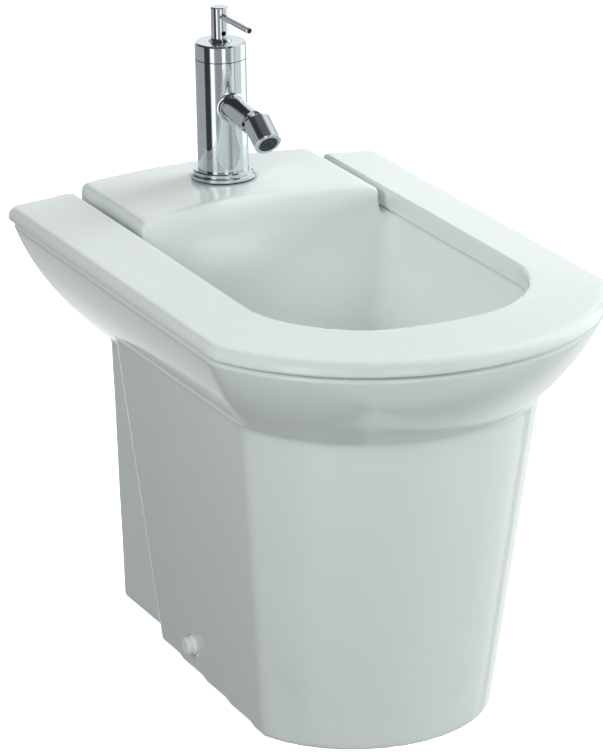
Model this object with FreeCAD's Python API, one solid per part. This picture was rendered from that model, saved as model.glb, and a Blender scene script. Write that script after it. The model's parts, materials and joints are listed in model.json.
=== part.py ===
"""Floor-standing ceramic bidet with a single-lever mixer, click plug, bottle trap and floor fixings.

Frame: millimetres, +Z up, -Y towards the user, +Y towards the wall, origin on the floor under the
middle of the rim.
"""
import FreeCAD
import Part
import os
from math import cos, radians, sin, sqrt

Vector = FreeCAD.Vector
X_AXIS = Vector(1, 0, 0)
Y_AXIS = Vector(0, 1, 0)
Z_AXIS = Vector(0, 0, 1)

# Rim ring, the U-shaped seat that lies on the bowl
RIM_LENGTH = 562.0
RIM_WIDTH = 366.0
RIM_TOP = 394.0
RING_THICKNESS = 20.0
RING_SIDE_HEIGHT = 13.0
RING_OPENING_WIDTH = 246.0
RING_FRONT_WIDTH = 70.0
RING_CORNER_SETBACK = 122.0
RING_CORNER_RADIUS = 42.0
RING_REAR_RADIUS = 13.0
RING_ARM_RADIUS = 10.0
RING_OPENING_BOW_RADIUS = 165.0
RING_OPENING_CORNER_RADIUS = 108.0
RING_OUTER_ROUND = 10.0
RING_INNER_ROUND = 3.0
RING_LOWER_ROUND = 2.0

# Bowl outside
BOWL_LIP_INSET = 2.5
BOWL_REAR_INSET = 6.0
BOWL_REAR_RADIUS = 8.0
BOWL_FOOT_HEIGHT = 244.0
BOWL_FOOT_HALF_WIDTH = 84.0
BOWL_FLARE_FRONT_RATIO = 1.38
BOWL_FLARE_CORNER_RATIO = 0.84
CERAMIC_WALL = 11.0
HOLE_REACH = 40.0

# Pedestal
PEDESTAL_JOIN_HEIGHT = 293.0
PEDESTAL_JOIN_HALF_WIDTH = 137.0
PEDESTAL_JOIN_REAR_HALF_WIDTH = 133.0
PEDESTAL_JOIN_FRONT = 215.0
PEDESTAL_JOIN_CORNER = 119.0
FOOT_HALF_WIDTH = 108.5
FOOT_REAR_HALF_WIDTH = 97.5
FOOT_FRONT = 156.0
FOOT_CORNER = 81.0
PEDESTAL_REAR = 160.0
PEDESTAL_CORNER_RADIUS = 22.0
PEDESTAL_REAR_RADIUS = 6.0
PEDESTAL_OVERLAP = 14.0
BACK_HALF_WIDTH = 91.0
BACK_FOOT_HALF_WIDTH = 86.0
BACK_EDGE_RADIUS = 6.0
BACK_INSET = 10.0
BACK_OPENING_HALF_WIDTH = 70.0

# Tap deck between the arms of the ring
DECK_TOP = 404.0
DECK_HALF_WIDTH = 113.5
DECK_CROWN = 5.0
DECK_EDGE_RADIUS = 7.0
DECK_THICKNESS = 13.0
DECK_DEPTH = 130.0
DECK_FRONT_BOW = 13.0
DECK_FRONT_ROUND = 9.0

# Basin
BASIN_LIP_SETBACK = 2.0
BASIN_FLOOR = 252.0
BASIN_DECK_SETBACK = 12.0
BASIN_CORNER_RADIUS = 12.0
BASIN_FLAT_INSET = 6.0
BASIN_BOW_MARGIN = 30.0
WASTE_Y = -17.0

# Waste fitting
WASTE_HOLE_DIAMETER = 46.0
WASTE_FLANGE_DIAMETER = 63.0
WASTE_FLANGE_RECESS = 1.5
WASTE_FLANGE_GAP = 1.0
WASTE_FLANGE_THICKNESS = 3.0
WASTE_TAIL_DIAMETER = 41.9
WASTE_TAIL_BORE = 34.0
WASTE_TAIL_LENGTH = 52.0
WASTE_NECK_BORE = 39.0
WASTE_NECK_DEPTH = 15.0
WASTE_BRIDGE_THICKNESS = 5.0
WASTE_NUT_DIAMETER = 60.0
WASTE_NUT_HEIGHT = 11.0
WASTE_GASKET_THICKNESS = 2.0
PLUG_DIAMETER = 62.0
PLUG_THICKNESS = 4.0
PLUG_CROWN = 3.0
PLUG_TRAVEL = 8.0
PLUG_SEAL_DIAMETER = 37.0
PLUG_SEAL_THICKNESS = 4.0
PLUG_STEM_DIAMETER = 7.0
PLUG_CLEARANCE = 0.3
CLICK_DIAMETER = 14.0
CLICK_HEIGHT = 22.0

# Bottle trap
TRAP_PIPE_DIAMETER = 32.0
TRAP_PIPE_WALL = 1.8
TRAP_HEAD_DIAMETER = 60.0
TRAP_HEAD_HEIGHT = 68.0
TRAP_HEAD_WALL = 3.0
TRAP_CUP_DIAMETER = 66.0
TRAP_CUP_HEIGHT = 48.0
TRAP_CUP_LAP = 14.0
TRAP_GASKET_THICKNESS = 2.0
TRAP_COLLAR_DIAMETER = 42.0
TRAP_COLLAR_LENGTH = 14.0
TRAP_NUT_DIAMETER = 52.0
TRAP_NUT_LENGTH = 18.0
TRAP_NUT_LIP = 3.0
TRAP_NUT_GROOVE = 1.6
TRAP_SEAL_THICKNESS = 3.0
TRAP_OUTLET_DROP = 24.0
TRAP_BELOW_WASTE = 28.0
TRAP_DIP_CLEARANCE = 16.0
TRAP_TAIL_FLANGE = 3.0
TRAP_OUTLET_INSET = 9.0
TRAP_SPIGOT_DIAMETER = 40.0
TRAP_SPIGOT_LENGTH = 55.0
TRAP_SPIGOT_FLARE = 8.0

# Side fixings
FIXING_Y = 70.0
FIXING_Z = 28.0
FIXING_CAP_DIAMETER = 15.0
FIXING_CAP_HEIGHT = 8.0
FIXING_CAP_EDGE = 1.0
FIXING_CAP_GAP = 0.4
FIXING_SEAT_DIAMETER = 18.0
FIXING_HOLE_DIAMETER = 12.0
FIXING_SEAT_DEPTH = 2.5
FIXING_SCREW_DIAMETER = 6.0
FIXING_HEAD_DIAMETER = 10.5
FIXING_HEAD_HEIGHT = 3.5
BUSH_COLLAR_THICKNESS = 1.5
BRACKET_WIDTH = 40.0
BRACKET_THICKNESS = 5.0
BRACKET_HEIGHT = 46.0
BRACKET_FOOT_LENGTH = 42.0
BRACKET_HOLE_DIAMETER = 8.5
BRACKET_GAP = 0.4
BRACKET_BOSS_DIAMETER = 16.0
BRACKET_BOSS_LENGTH = 12.0

# Mixer
TAP_SETBACK = 69.0
TAP_HOLE_DIAMETER = 35.0
TAP_SEAT_DIAMETER = 64.0
TAP_SEAT_DEPTH = 0.5
TAP_GASKET_THICKNESS = 1.5
TAP_FLANGE_DIAMETER = 59.0
TAP_FLANGE_STEP_DIAMETER = 54.5
TAP_FLANGE_LOWER = 4.0
TAP_FLANGE_HEIGHT = 7.5
TAP_FLANGE_SOCKET = 2.5
TAP_FLANGE_EDGE = 1.0
TAP_SPIGOT_DIAMETER = 33.0
TAP_SPIGOT_LIFT = 2.0
TAP_BODY_DIAMETER = 46.0
TAP_SEAM_HEIGHT = 109.0
TAP_SEAM_CHAMFER = 0.4
TAP_CAP_HEIGHT = 15.0
TAP_CAP_ROUND = 1.5
TAP_NECK_DIAMETER = 40.8
TAP_NECK_HEIGHT = 6.0
SPOUT_DIAMETER = 22.0
SPOUT_BORE = 13.0
SPOUT_BELOW_SEAM = 39.1
SPOUT_FALL = 4.0
SPOUT_ROOT_ROUND = 5.0
BALL_REACH = 80.0
BALL_DIAMETER = 19.0
BALL_NECK_DIAMETER = 8.0
BALL_SHANK_LENGTH = 12.0
BALL_WATERWAY = 5.0
BALL_CLEARANCE = 0.15
PACKING_THICKNESS = 1.3
NOZZLE_PITCH = 34.0
NOZZLE_DIAMETER = 24.6
NOZZLE_BEHIND_BALL = 7.0
NOZZLE_AHEAD_OF_BALL = 19.0
NOZZLE_LIP_DIAMETER = 17.5
NOZZLE_SPOUT_GAP = 0.5
NOZZLE_LIP_SETBACK = 4.2
NOZZLE_EDGE = 0.7
PACKING_BEHIND_BALL = 0.5
PACKING_AHEAD_OF_BALL = 4.0
AERATOR_THREAD_DIAMETER = 21.3
AERATOR_WATERWAY = 16.8
AERATOR_SHOULDER = 10.3
AERATOR_WASHER_THICKNESS = 1.5
AERATOR_FLANGE_LENGTH = 3.5
AERATOR_WINDOW = 17.4
AERATOR_RECESS = 0.8
AERATOR_HOLE = 1.7
AERATOR_PITCH = 2.8

# Handle and cartridge
TURRET_DIAMETER = 16.0
TURRET_HEIGHT = 31.0
TURRET_CHAMFER = 0.8
DOME_RADIUS = 11.0
DOME_WALL = 2.0
DOME_CLEARANCE = 0.3
DOME_ABOVE_PIVOT = 0.5
PIVOT_DEPTH = 4.5
LEVER_DIAMETER = 6.0
LEVER_REACH = 62.0
LEVER_BELOW_TOP = 8.0
LEVER_EDGE = 0.4
GRUB_DIAMETER = 4.4
GRUB_HEIGHT = 8.0
GRUB_RECESS = 1.2
GRUB_SOCKET = 2.0
STEM_DIAMETER = 7.8
STEM_SOCKET_DEPTH = 18.0
STEM_TOE_DIAMETER = 4.8
STEM_SHANK_DIAMETER = 4.0
STEM_ARM = 17.0
STEM_BELOW_PIVOT = 6.0
PIVOT_PIN_DIAMETER = 3.0
RUNNING_CLEARANCE = 0.06
SLIDE_CLEARANCE = 0.2
LIFT_ANGLE = 17.0
CARTRIDGE_HEIGHT = 20.5
CARTRIDGE_ABOVE_SEAM = 1.5
CARTRIDGE_BORE = 32.0
CARTRIDGE_DIAMETER = 35.2
CARTRIDGE_FIT = 0.05
CARTRIDGE_SEAL_THICKNESS = 1.5
FIXED_DISC_THICKNESS = 4.0
MOVING_DISC_THICKNESS = 3.5
MOVING_DISC_DIAMETER = 19.6
CARRIER_THICKNESS = 6.8
ROTOR_THICKNESS = 4.3
EAR_THICKNESS = 2.6
EAR_WIDTH = 5.6
EAR_ABOVE_PIVOT = 2.8
RETAINING_NUT_HEIGHT = 4.0
RETAINING_NUT_BORE = 25.2
INLET_DIAMETER = 9.0
INLET_DEPTH = 16.0
INLET_SPACING = 17.0
INLET_SETBACK = 5.0
PASSAGE_DIAMETER = 6.0
OUTLET_OFFSET = 9.0

# Mixer fixing under the deck
STUD_DIAMETER = 8.0
STUD_OFFSET = 9.0
STUD_GRIP = 14.0
STUD_BELOW_NUT = 12.0
HORSESHOE_DIAMETER = 52.0
HORSESHOE_SLOT = 30.0
HORSESHOE_HOSE_GAP = 1.0
RUBBER_HORSESHOE_THICKNESS = 2.5
STEEL_HORSESHOE_THICKNESS = 2.0
STUD_NUT_ACROSS = 13.0
STUD_NUT_HEIGHT = 8.0

# Derived places
FRONT = -RIM_LENGTH / 2
REAR = RIM_LENGTH / 2
RING_SEAT = RIM_TOP - RING_THICKNESS
RING_HALF = RIM_WIDTH / 2
RING_OPENING_HALF = RING_OPENING_WIDTH / 2
RING_OPENING_FRONT = FRONT + RING_FRONT_WIDTH
RING_CORNER_Y = FRONT + RING_CORNER_SETBACK
DECK_FRONT = REAR - DECK_DEPTH
BASIN_REAR_AT_RIM = DECK_FRONT - BASIN_DECK_SETBACK
TAP_Y = REAR - TAP_SETBACK
TAP_BASE = DECK_TOP - TAP_SEAT_DEPTH
SPOUT_HEIGHT = TAP_SEAM_HEIGHT - SPOUT_BELOW_SEAM
CARTRIDGE_TOP = TAP_SEAM_HEIGHT + CARTRIDGE_ABOVE_SEAM
CARTRIDGE_FLOOR = CARTRIDGE_TOP - CARTRIDGE_HEIGHT
SPOUT_ROOT = Vector(0, TAP_Y, TAP_BASE + SPOUT_HEIGHT)
SPOUT_DIRECTION = Vector(0, -cos(radians(SPOUT_FALL)), -sin(radians(SPOUT_FALL)))
BALL_CENTRE = SPOUT_ROOT + SPOUT_DIRECTION * BALL_REACH
NOZZLE_DIRECTION = Vector(0, -cos(radians(NOZZLE_PITCH)), -sin(radians(NOZZLE_PITCH)))


def revolve(points, place=Vector(0, 0, 0), direction=Z_AXIS):
    """Solid of revolution from (radius, height) corners about an axis through place."""
    corners = [Vector(r, 0, h) for r, h in points]
    face = Part.Face(Part.makePolygon(corners + corners[:1]))
    solid = face.revolve(Vector(0, 0, 0), Z_AXIS, 360)
    solid.Placement = FreeCAD.Placement(place, FreeCAD.Rotation(Z_AXIS, direction))
    return solid


def rod(radius, start, direction, length):
    """Cylinder that starts at a point and runs along a direction."""
    return Part.makeCylinder(radius, length, start, direction)


def tube(outer, inner, start, direction, length):
    """Hollow cylinder given by its two radii."""
    return rod(outer, start, direction, length).cut(rod(inner, start, direction, length))


def box(x_range, y_range, z_range):
    """Box between two limits on each axis."""
    size = [high - low for low, high in (x_range, y_range, z_range)]
    return Part.makeBox(*size, Vector(x_range[0], y_range[0], z_range[0]))


def arc(centre, start, end):
    """Shorter arc from start to end about a centre."""
    radius = (start - centre).Length
    middle = centre + ((start - centre) + (end - centre)).normalize() * radius
    return Part.Arc(start, middle, end).toShape()


def line(start, end):
    """Straight edge."""
    return Part.LineSegment(start, end).toShape()


def mirrored(shape):
    """Shape together with its mirror image across the middle plane."""
    return Part.makeCompound([shape, shape.mirror(Vector(0, 0, 0), X_AXIS)])


def mix(first, second, share):
    """Value part of the way from first to second."""
    return first + (second - first) * share


def bow_corner(side_point, side_way, inward, bow_centre, bow_radius, radius):
    """Tangent points and centre of the round between a straight side and a bowed end."""
    offset = side_point + inward * radius - bow_centre
    along = offset.dot(side_way)
    reach = (bow_radius - radius) ** 2 - offset.Length ** 2 + along ** 2
    centre = bow_centre + offset + side_way * (sqrt(reach) - along)
    on_side = centre - inward * radius
    on_bow = bow_centre + (centre - bow_centre).normalize() * bow_radius
    return on_side, centre, on_bow


def flip(point):
    """Point on the other side of the middle plane."""
    return Vector(-point.x, point.y, point.z)


def plan_outline(
    z, half_front, half_rear, y_front, y_corner, y_rear, corner_radius, rear_radius, rear_bow=0.0
):
    """Closed outline at one height: bowed front, straight sides, straight or bowed rear."""
    sag = y_corner - y_front
    front_radius = (half_front ** 2 + sag ** 2) / (2 * sag)
    front_centre = Vector(0, y_front + front_radius, z)
    rear_point = Vector(half_rear, y_rear - rear_bow, z)
    side_way = (Vector(half_front, y_corner, z) - rear_point).normalize()
    inward = Vector(side_way.y, -side_way.x, 0)
    side_front, front_round, bow_front = bow_corner(
        rear_point, side_way, inward, front_centre, front_radius, corner_radius
    )
    if rear_bow:
        rear_bow_radius = (half_rear ** 2 + rear_bow ** 2) / (2 * rear_bow)
        rear_centre = Vector(0, y_rear - rear_bow_radius, z)
        side_rear, rear_round, bow_rear = bow_corner(
            side_front, side_way * -1, inward, rear_centre, rear_bow_radius, rear_radius
        )
        rear_edge = Part.Arc(flip(bow_rear), Vector(0, y_rear, z), bow_rear).toShape()
    else:
        drop = (y_rear - rear_radius - rear_point.y - inward.y * rear_radius) / side_way.y
        rear_round = rear_point + inward * rear_radius + side_way * drop
        side_rear = rear_round - inward * rear_radius
        bow_rear = Vector(rear_round.x, y_rear, z)
        rear_edge = line(flip(bow_rear), bow_rear)
    return Part.Wire(
        [
            rear_edge,
            arc(rear_round, bow_rear, side_rear),
            line(side_rear, side_front),
            arc(front_round, side_front, bow_front),
            Part.Arc(bow_front, Vector(0, y_front, z), flip(bow_front)).toShape(),
            arc(flip(front_round), flip(bow_front), flip(side_front)),
            line(flip(side_front), flip(side_rear)),
            arc(flip(rear_round), flip(side_rear), flip(bow_rear)),
        ]
    )


def loft(outlines, ruled=False):
    """Solid through a stack of outlines."""
    return Part.makeLoft(outlines, True, ruled)


def prism(outline, height):
    """Upright solid on a flat outline."""
    return Part.Face(outline).extrude(Vector(0, 0, height))


def ring_outline(z, inset=0.0):
    """Outer outline of the rim ring at one height."""
    half = RING_HALF - inset
    return plan_outline(
        z,
        half,
        half,
        FRONT + inset,
        RING_CORNER_Y,
        REAR - inset,
        RING_CORNER_RADIUS - inset,
        RING_REAR_RADIUS - inset,
    )


def opening_outline(z, rear, grow=0.0):
    """Outline of the opening inside the ring, run back to a rear line."""
    half = RING_OPENING_HALF + grow
    radius = RING_OPENING_BOW_RADIUS + grow
    front = RING_OPENING_FRONT - grow
    corner = front + radius - sqrt(radius ** 2 - half ** 2)
    return plan_outline(
        z, half, half, front, corner, rear, RING_OPENING_CORNER_RADIUS + grow, RING_LOWER_ROUND
    )


def quarter_round(radius):
    """Steps of a quarter round, as (part of the rise, part of the run left)."""
    steps = 5
    turns = [radians(90) * step / steps for step in range(steps + 1)]
    return [(radius * sin(turn), radius * (1 - cos(turn))) for turn in turns]


def edges_where(shape, test):
    """Edges of a shape whose bounding box passes a test."""
    return [edge for edge in shape.Edges if test(edge.BoundBox)]


def rim_ring():
    """U-shaped rim with a top that falls gently outwards and soft edges."""
    side_top = RING_SEAT + RING_SIDE_HEIGHT - RING_OUTER_ROUND
    skins = [
        ring_outline(RING_SEAT + RING_LOWER_ROUND - rise, inset)
        for rise, inset in reversed(quarter_round(RING_LOWER_ROUND))
    ]
    skins += [ring_outline(side_top + rise, inset) for rise, inset in quarter_round(RING_OUTER_ROUND)]
    skins.append(opening_outline(RIM_TOP, REAR - RING_OUTER_ROUND))
    plate = loft(skins, ruled=True)
    behind = REAR + 2 * RING_REAR_RADIUS
    walls = [
        opening_outline(RING_SEAT + RING_LOWER_ROUND - rise, behind, grow)
        for rise, grow in reversed(quarter_round(RING_LOWER_ROUND))
    ]
    inner_top = RIM_TOP - RING_INNER_ROUND
    rounds = quarter_round(RING_INNER_ROUND)
    walls += [opening_outline(inner_top + rise, behind, grow) for rise, grow in rounds]
    well = loft(walls, ruled=True)
    arm = RING_ARM_RADIUS
    arm_end = Vector(RING_OPENING_HALF + arm, REAR - arm, RING_SEAT)
    corner = box(
        (RING_OPENING_HALF, RING_OPENING_HALF + arm), (REAR - arm, REAR), (RING_SEAT, RIM_TOP)
    ).cut(rod(arm, arm_end, Z_AXIS, RING_THICKNESS))
    return plate.cut([well, mirrored(corner)])


def bowl_section(z, half, inset=0.0):
    """Outline of the bowl outside, or of its hollow, where it has a given half width."""
    tuck = RING_HALF - BOWL_LIP_INSET - half
    return plan_outline(
        z,
        half - inset,
        half - inset,
        FRONT + BOWL_LIP_INSET + BOWL_FLARE_FRONT_RATIO * tuck + inset,
        RING_CORNER_Y + BOWL_LIP_INSET + BOWL_FLARE_CORNER_RATIO * tuck + inset / 2,
        REAR - BOWL_REAR_INSET - inset,
        RING_CORNER_RADIUS - inset / 2,
        BOWL_REAR_RADIUS - inset / 2,
    )


def bowl_halves():
    """Heights and half widths down the bulging flank of the bowl."""
    top_half = RING_HALF - BOWL_LIP_INSET
    depth = RING_SEAT - BOWL_FOOT_HEIGHT
    narrowing = top_half - BOWL_FOOT_HALF_WIDTH
    steps = 6
    rows = []
    for step in range(steps + 1):
        share = step / steps
        bulge = 0.42 * share + 0.58 * share ** 2
        rows.append((RING_SEAT - depth * share, top_half - narrowing * bulge))
    return rows


def bowl_solid(inset=0.0, roof=0.0):
    """Bowl without its basin, or the hollow inside its wall."""
    rows = bowl_halves()
    sections = [bowl_section(z, half, inset) for z, half in rows]
    solid = loft(list(reversed(sections)))
    if not roof:
        return solid
    span = RIM_LENGTH
    keep = box((-span, span), (-span, span), (0, RING_SEAT - roof))
    return solid.common(keep)


def pedestal_section(share, inset=0.0):
    """Outline of the pedestal, with share 0 at the floor and 1 where it meets the bowl."""
    return plan_outline(
        PEDESTAL_JOIN_HEIGHT * share,
        mix(FOOT_HALF_WIDTH, PEDESTAL_JOIN_HALF_WIDTH, share) - inset,
        mix(FOOT_REAR_HALF_WIDTH, PEDESTAL_JOIN_REAR_HALF_WIDTH, share) - inset,
        -mix(FOOT_FRONT, PEDESTAL_JOIN_FRONT, share) + inset,
        -mix(FOOT_CORNER, PEDESTAL_JOIN_CORNER, share) + inset / 2,
        PEDESTAL_REAR - inset,
        PEDESTAL_CORNER_RADIUS - inset / 2,
        PEDESTAL_REAR_RADIUS,
    )


def pedestal_solid(inset=0.0):
    """Tapered pedestal, or the hollow inside its wall."""
    top_share = 1 + PEDESTAL_OVERLAP / PEDESTAL_JOIN_HEIGHT
    return loft([pedestal_section(0, inset), pedestal_section(top_share, inset)], ruled=True)


def back_solid(inset=0.0):
    """Narrow rear part of the pedestal, or the hollow inside it."""
    rear = REAR - BACK_INSET
    front = PEDESTAL_REAR - 3 * CERAMIC_WALL
    top = BOWL_FOOT_HEIGHT + CERAMIC_WALL
    faces = []
    for z, half in ((0.0, BACK_FOOT_HALF_WIDTH), (top, BACK_HALF_WIDTH)):
        width = half - inset
        corners = [(-width, front), (width, front), (width, rear - inset), (-width, rear - inset)]
        points = [Vector(x, y, z) for x, y in corners]
        faces.append(Part.makePolygon(points + points[:1]))
    solid = loft(faces, ruled=True)
    if inset:
        return solid
    upright = edges_where(solid, lambda b: b.YMin > rear - 1 and b.ZLength > top / 2)
    return solid.makeFillet(BACK_EDGE_RADIUS, upright)


def deck_solid():
    """Crowned block that carries the tap between the arms of the ring."""
    half = DECK_HALF_WIDTH
    edge_top = DECK_TOP - DECK_CROWN
    crown_radius = (half ** 2 + DECK_CROWN ** 2) / (2 * DECK_CROWN)
    front = BASIN_REAR_AT_RIM - DECK_FRONT_BOW - 2 * CERAMIC_WALL
    low = RING_SEAT - CERAMIC_WALL
    crown_centre = Vector(0, front, DECK_TOP - crown_radius)
    foot = Vector(half, front, low)
    round_height = sqrt((crown_radius - DECK_EDGE_RADIUS) ** 2 - (half - DECK_EDGE_RADIUS) ** 2)
    round_centre = crown_centre + Vector(half - DECK_EDGE_RADIUS, 0, round_height)
    on_side = round_centre + X_AXIS * DECK_EDGE_RADIUS
    on_top = crown_centre + (round_centre - crown_centre).normalize() * crown_radius
    profile = Part.Wire(
        [
            line(flip(foot), foot),
            line(foot, on_side),
            arc(round_centre, on_side, on_top),
            Part.Arc(on_top, Vector(0, front, DECK_TOP), flip(on_top)).toShape(),
            arc(flip(round_centre), flip(on_top), flip(on_side)),
            line(flip(on_side), flip(foot)),
        ]
    )
    rear = REAR - BOWL_REAR_INSET
    block = Part.Face(profile).extrude(Vector(0, rear - front, 0))
    rear_edges = edges_where(block, lambda b: b.YMin > rear - 0.1 and b.ZMax > edge_top - DECK_EDGE_RADIUS)
    rear_edges = [edge for edge in rear_edges if edge.BoundBox.ZMin > low + 1]
    return block.makeFillet(DECK_EDGE_RADIUS - 2, rear_edges)


def basin_section(z, half, front, rear, bow, corner, rear_corner, grow):
    """Outline of the basin at one height, grown outwards by a wall where asked."""
    bow_radius = max(half + BASIN_BOW_MARGIN, RING_OPENING_BOW_RADIUS * half / RING_OPENING_HALF) + grow
    wide = half + grow
    tip = front - grow
    y_corner = tip + bow_radius - sqrt(bow_radius ** 2 - wide ** 2)
    return plan_outline(
        z - grow, wide, wide, tip, y_corner, rear + grow, corner + grow / 2, rear_corner + grow / 2, bow
    )


def basin_sections(grow=0.0):
    """Stack of basin outlines from the ring seat down to the flat round the waste."""
    lip_half = RING_OPENING_HALF + BASIN_LIP_SETBACK
    lip_front = RING_OPENING_FRONT - BASIN_LIP_SETBACK
    depth = RING_SEAT - BASIN_FLOOR
    waste_half = WASTE_FLANGE_DIAMETER / 2 - BASIN_FLAT_INSET
    rows = (
        (0.0, 0.0),
        (0.25, 0.09),
        (0.5, 0.23),
        (0.75, 0.46),
        (0.92, 0.74),
        (1.0, 1.0),
    )
    sections = []
    for fall, draw in rows:
        sections.append(
            basin_section(
                RING_SEAT - depth * fall,
                mix(lip_half, waste_half, draw),
                mix(lip_front, WASTE_Y - waste_half, draw),
                mix(BASIN_REAR_AT_RIM, WASTE_Y + waste_half, draw),
                mix(DECK_FRONT_BOW, waste_half / 3, draw),
                mix(RING_OPENING_CORNER_RADIUS, waste_half / 2, draw),
                mix(BASIN_CORNER_RADIUS, waste_half / 2, draw),
                grow,
            )
        )
    return sections


def deck_front_cut(grow=0.0):
    """Space in front of the deck, above the ring seat, with a soft upper edge."""
    lip_half = RING_OPENING_HALF + BASIN_LIP_SETBACK
    lip_front = RING_OPENING_FRONT - BASIN_LIP_SETBACK
    round_start = DECK_TOP - DECK_FRONT_ROUND
    rows = [(RING_SEAT - grow, BASIN_REAR_AT_RIM)]
    rows += [
        (round_start + rise, DECK_FRONT - DECK_FRONT_ROUND + run)
        for rise, run in quarter_round(DECK_FRONT_ROUND)
    ]
    rows.append((DECK_TOP + DECK_FRONT_ROUND, DECK_FRONT + DECK_FRONT_ROUND))
    outlines = [
        basin_section(
            z + grow, lip_half, lip_front, rear, DECK_FRONT_BOW, RING_OPENING_CORNER_RADIUS,
            BASIN_CORNER_RADIUS, grow,
        )
        for z, rear in rows
    ]
    return loft(outlines, ruled=True)


def basin_solid(grow=0.0):
    """Space inside the basin, or that space with its wall."""
    return loft(list(reversed(basin_sections(grow))))


def fixing_face(y, z):
    """Distance of the pedestal's side from the middle plane at a point on it."""
    share = z / PEDESTAL_JOIN_HEIGHT
    rear_half = mix(FOOT_REAR_HALF_WIDTH, PEDESTAL_JOIN_REAR_HALF_WIDTH, share)
    front_half = mix(FOOT_HALF_WIDTH, PEDESTAL_JOIN_HALF_WIDTH, share)
    corner = -mix(FOOT_CORNER, PEDESTAL_JOIN_CORNER, share)
    return mix(rear_half, front_half, (PEDESTAL_REAR - y) / (PEDESTAL_REAR - corner))


FIXING_SEAT_X = fixing_face(FIXING_Y, FIXING_Z) - FIXING_SEAT_DEPTH


def ceramic_body():
    """Bowl, tap deck and hollow pedestal cast in one piece, open below and at the back."""
    outside = pedestal_solid().fuse([back_solid(), bowl_solid(), deck_solid()])
    under_deck = box(
        (-DECK_HALF_WIDTH + CERAMIC_WALL, DECK_HALF_WIDTH - CERAMIC_WALL),
        (BASIN_REAR_AT_RIM - DECK_FRONT_BOW, REAR - BOWL_REAR_INSET - CERAMIC_WALL),
        (RING_SEAT - 2 * CERAMIC_WALL, DECK_TOP - DECK_CROWN - DECK_THICKNESS),
    )
    hollow = pedestal_solid(CERAMIC_WALL).fuse(
        [back_solid(CERAMIC_WALL), bowl_solid(CERAMIC_WALL, CERAMIC_WALL), under_deck]
    )
    hollow = hollow.cut(basin_solid(CERAMIC_WALL)).cut(deck_front_cut(CERAMIC_WALL))
    back_opening = box(
        (-BACK_OPENING_HALF_WIDTH, BACK_OPENING_HALF_WIDTH),
        (REAR - 4 * CERAMIC_WALL, REAR + CERAMIC_WALL),
        (-1, RING_SEAT),
    )
    body = outside.cut([hollow, back_opening, basin_solid(), deck_front_cut()])
    waste = Vector(0, WASTE_Y, BASIN_FLOOR)
    recess = WASTE_FLANGE_DIAMETER / 2 + WASTE_FLANGE_GAP
    tap = Vector(0, TAP_Y, DECK_TOP)
    below = Z_AXIS * HOLE_REACH
    cuts = [
        rod(WASTE_HOLE_DIAMETER / 2, waste - below, Z_AXIS, 2 * HOLE_REACH),
        rod(recess, waste - Z_AXIS * WASTE_FLANGE_RECESS, Z_AXIS, HOLE_REACH),
        rod(TAP_HOLE_DIAMETER / 2, tap - below, Z_AXIS, 2 * HOLE_REACH),
        rod(TAP_SEAT_DIAMETER / 2, tap - Z_AXIS * TAP_SEAT_DEPTH, Z_AXIS, HOLE_REACH),
    ]
    for side in (-1, 1):
        seat = Vector(side * FIXING_SEAT_X, FIXING_Y, FIXING_Z)
        out = X_AXIS * side
        cuts.append(rod(FIXING_SEAT_DIAMETER / 2, seat, out, HOLE_REACH))
        cuts.append(rod(FIXING_HOLE_DIAMETER / 2, seat - out * HOLE_REACH, out, 2 * HOLE_REACH))
    return body.cut(cuts).removeSplitter()


def fixing_place(side, distance):
    """Point on a fixing's axis at a distance from the middle plane."""
    return Vector(side * distance, FIXING_Y, FIXING_Z)


def fixing_caps():
    """Snap-on covers over the heads of the two side screws."""
    radius = FIXING_CAP_DIAMETER / 2
    inside = FIXING_HEAD_DIAMETER / 2 + FIXING_CAP_GAP
    rim = BUSH_COLLAR_THICKNESS
    pocket = rim + FIXING_HEAD_HEIGHT + FIXING_CAP_GAP
    edge = FIXING_CAP_EDGE
    profile = [
        (inside, rim),
        (FIXING_SEAT_DIAMETER / 2 - FIXING_CAP_GAP, rim),
        (FIXING_SEAT_DIAMETER / 2 - FIXING_CAP_GAP, FIXING_SEAT_DEPTH + edge),
        (radius, FIXING_SEAT_DEPTH + 2 * edge),
        (radius, FIXING_SEAT_DEPTH + FIXING_CAP_HEIGHT - edge),
        (radius - edge, FIXING_SEAT_DEPTH + FIXING_CAP_HEIGHT),
        (0, FIXING_SEAT_DEPTH + FIXING_CAP_HEIGHT),
        (0, pocket),
        (inside, pocket),
    ]
    return mirrored(revolve(profile, fixing_place(1, FIXING_SEAT_X), X_AXIS))


def fixing_bushes():
    """Plastic sleeves that line the two side holes."""
    collar = FIXING_SEAT_DIAMETER / 2 - FIXING_CAP_GAP
    sleeve = FIXING_HOLE_DIAMETER / 2 - SLIDE_CLEARANCE
    bore = FIXING_SCREW_DIAMETER / 2 + SLIDE_CLEARANCE
    length = CERAMIC_WALL - FIXING_SEAT_DEPTH
    profile = [
        (bore, -length),
        (sleeve, -length),
        (sleeve, 0),
        (collar, 0),
        (collar, BUSH_COLLAR_THICKNESS),
        (bore, BUSH_COLLAR_THICKNESS),
    ]
    return mirrored(revolve(profile, fixing_place(1, FIXING_SEAT_X), X_AXIS))


BRACKET_X = fixing_face(FIXING_Y + BRACKET_WIDTH / 2, 0) - CERAMIC_WALL - BRACKET_GAP


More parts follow.
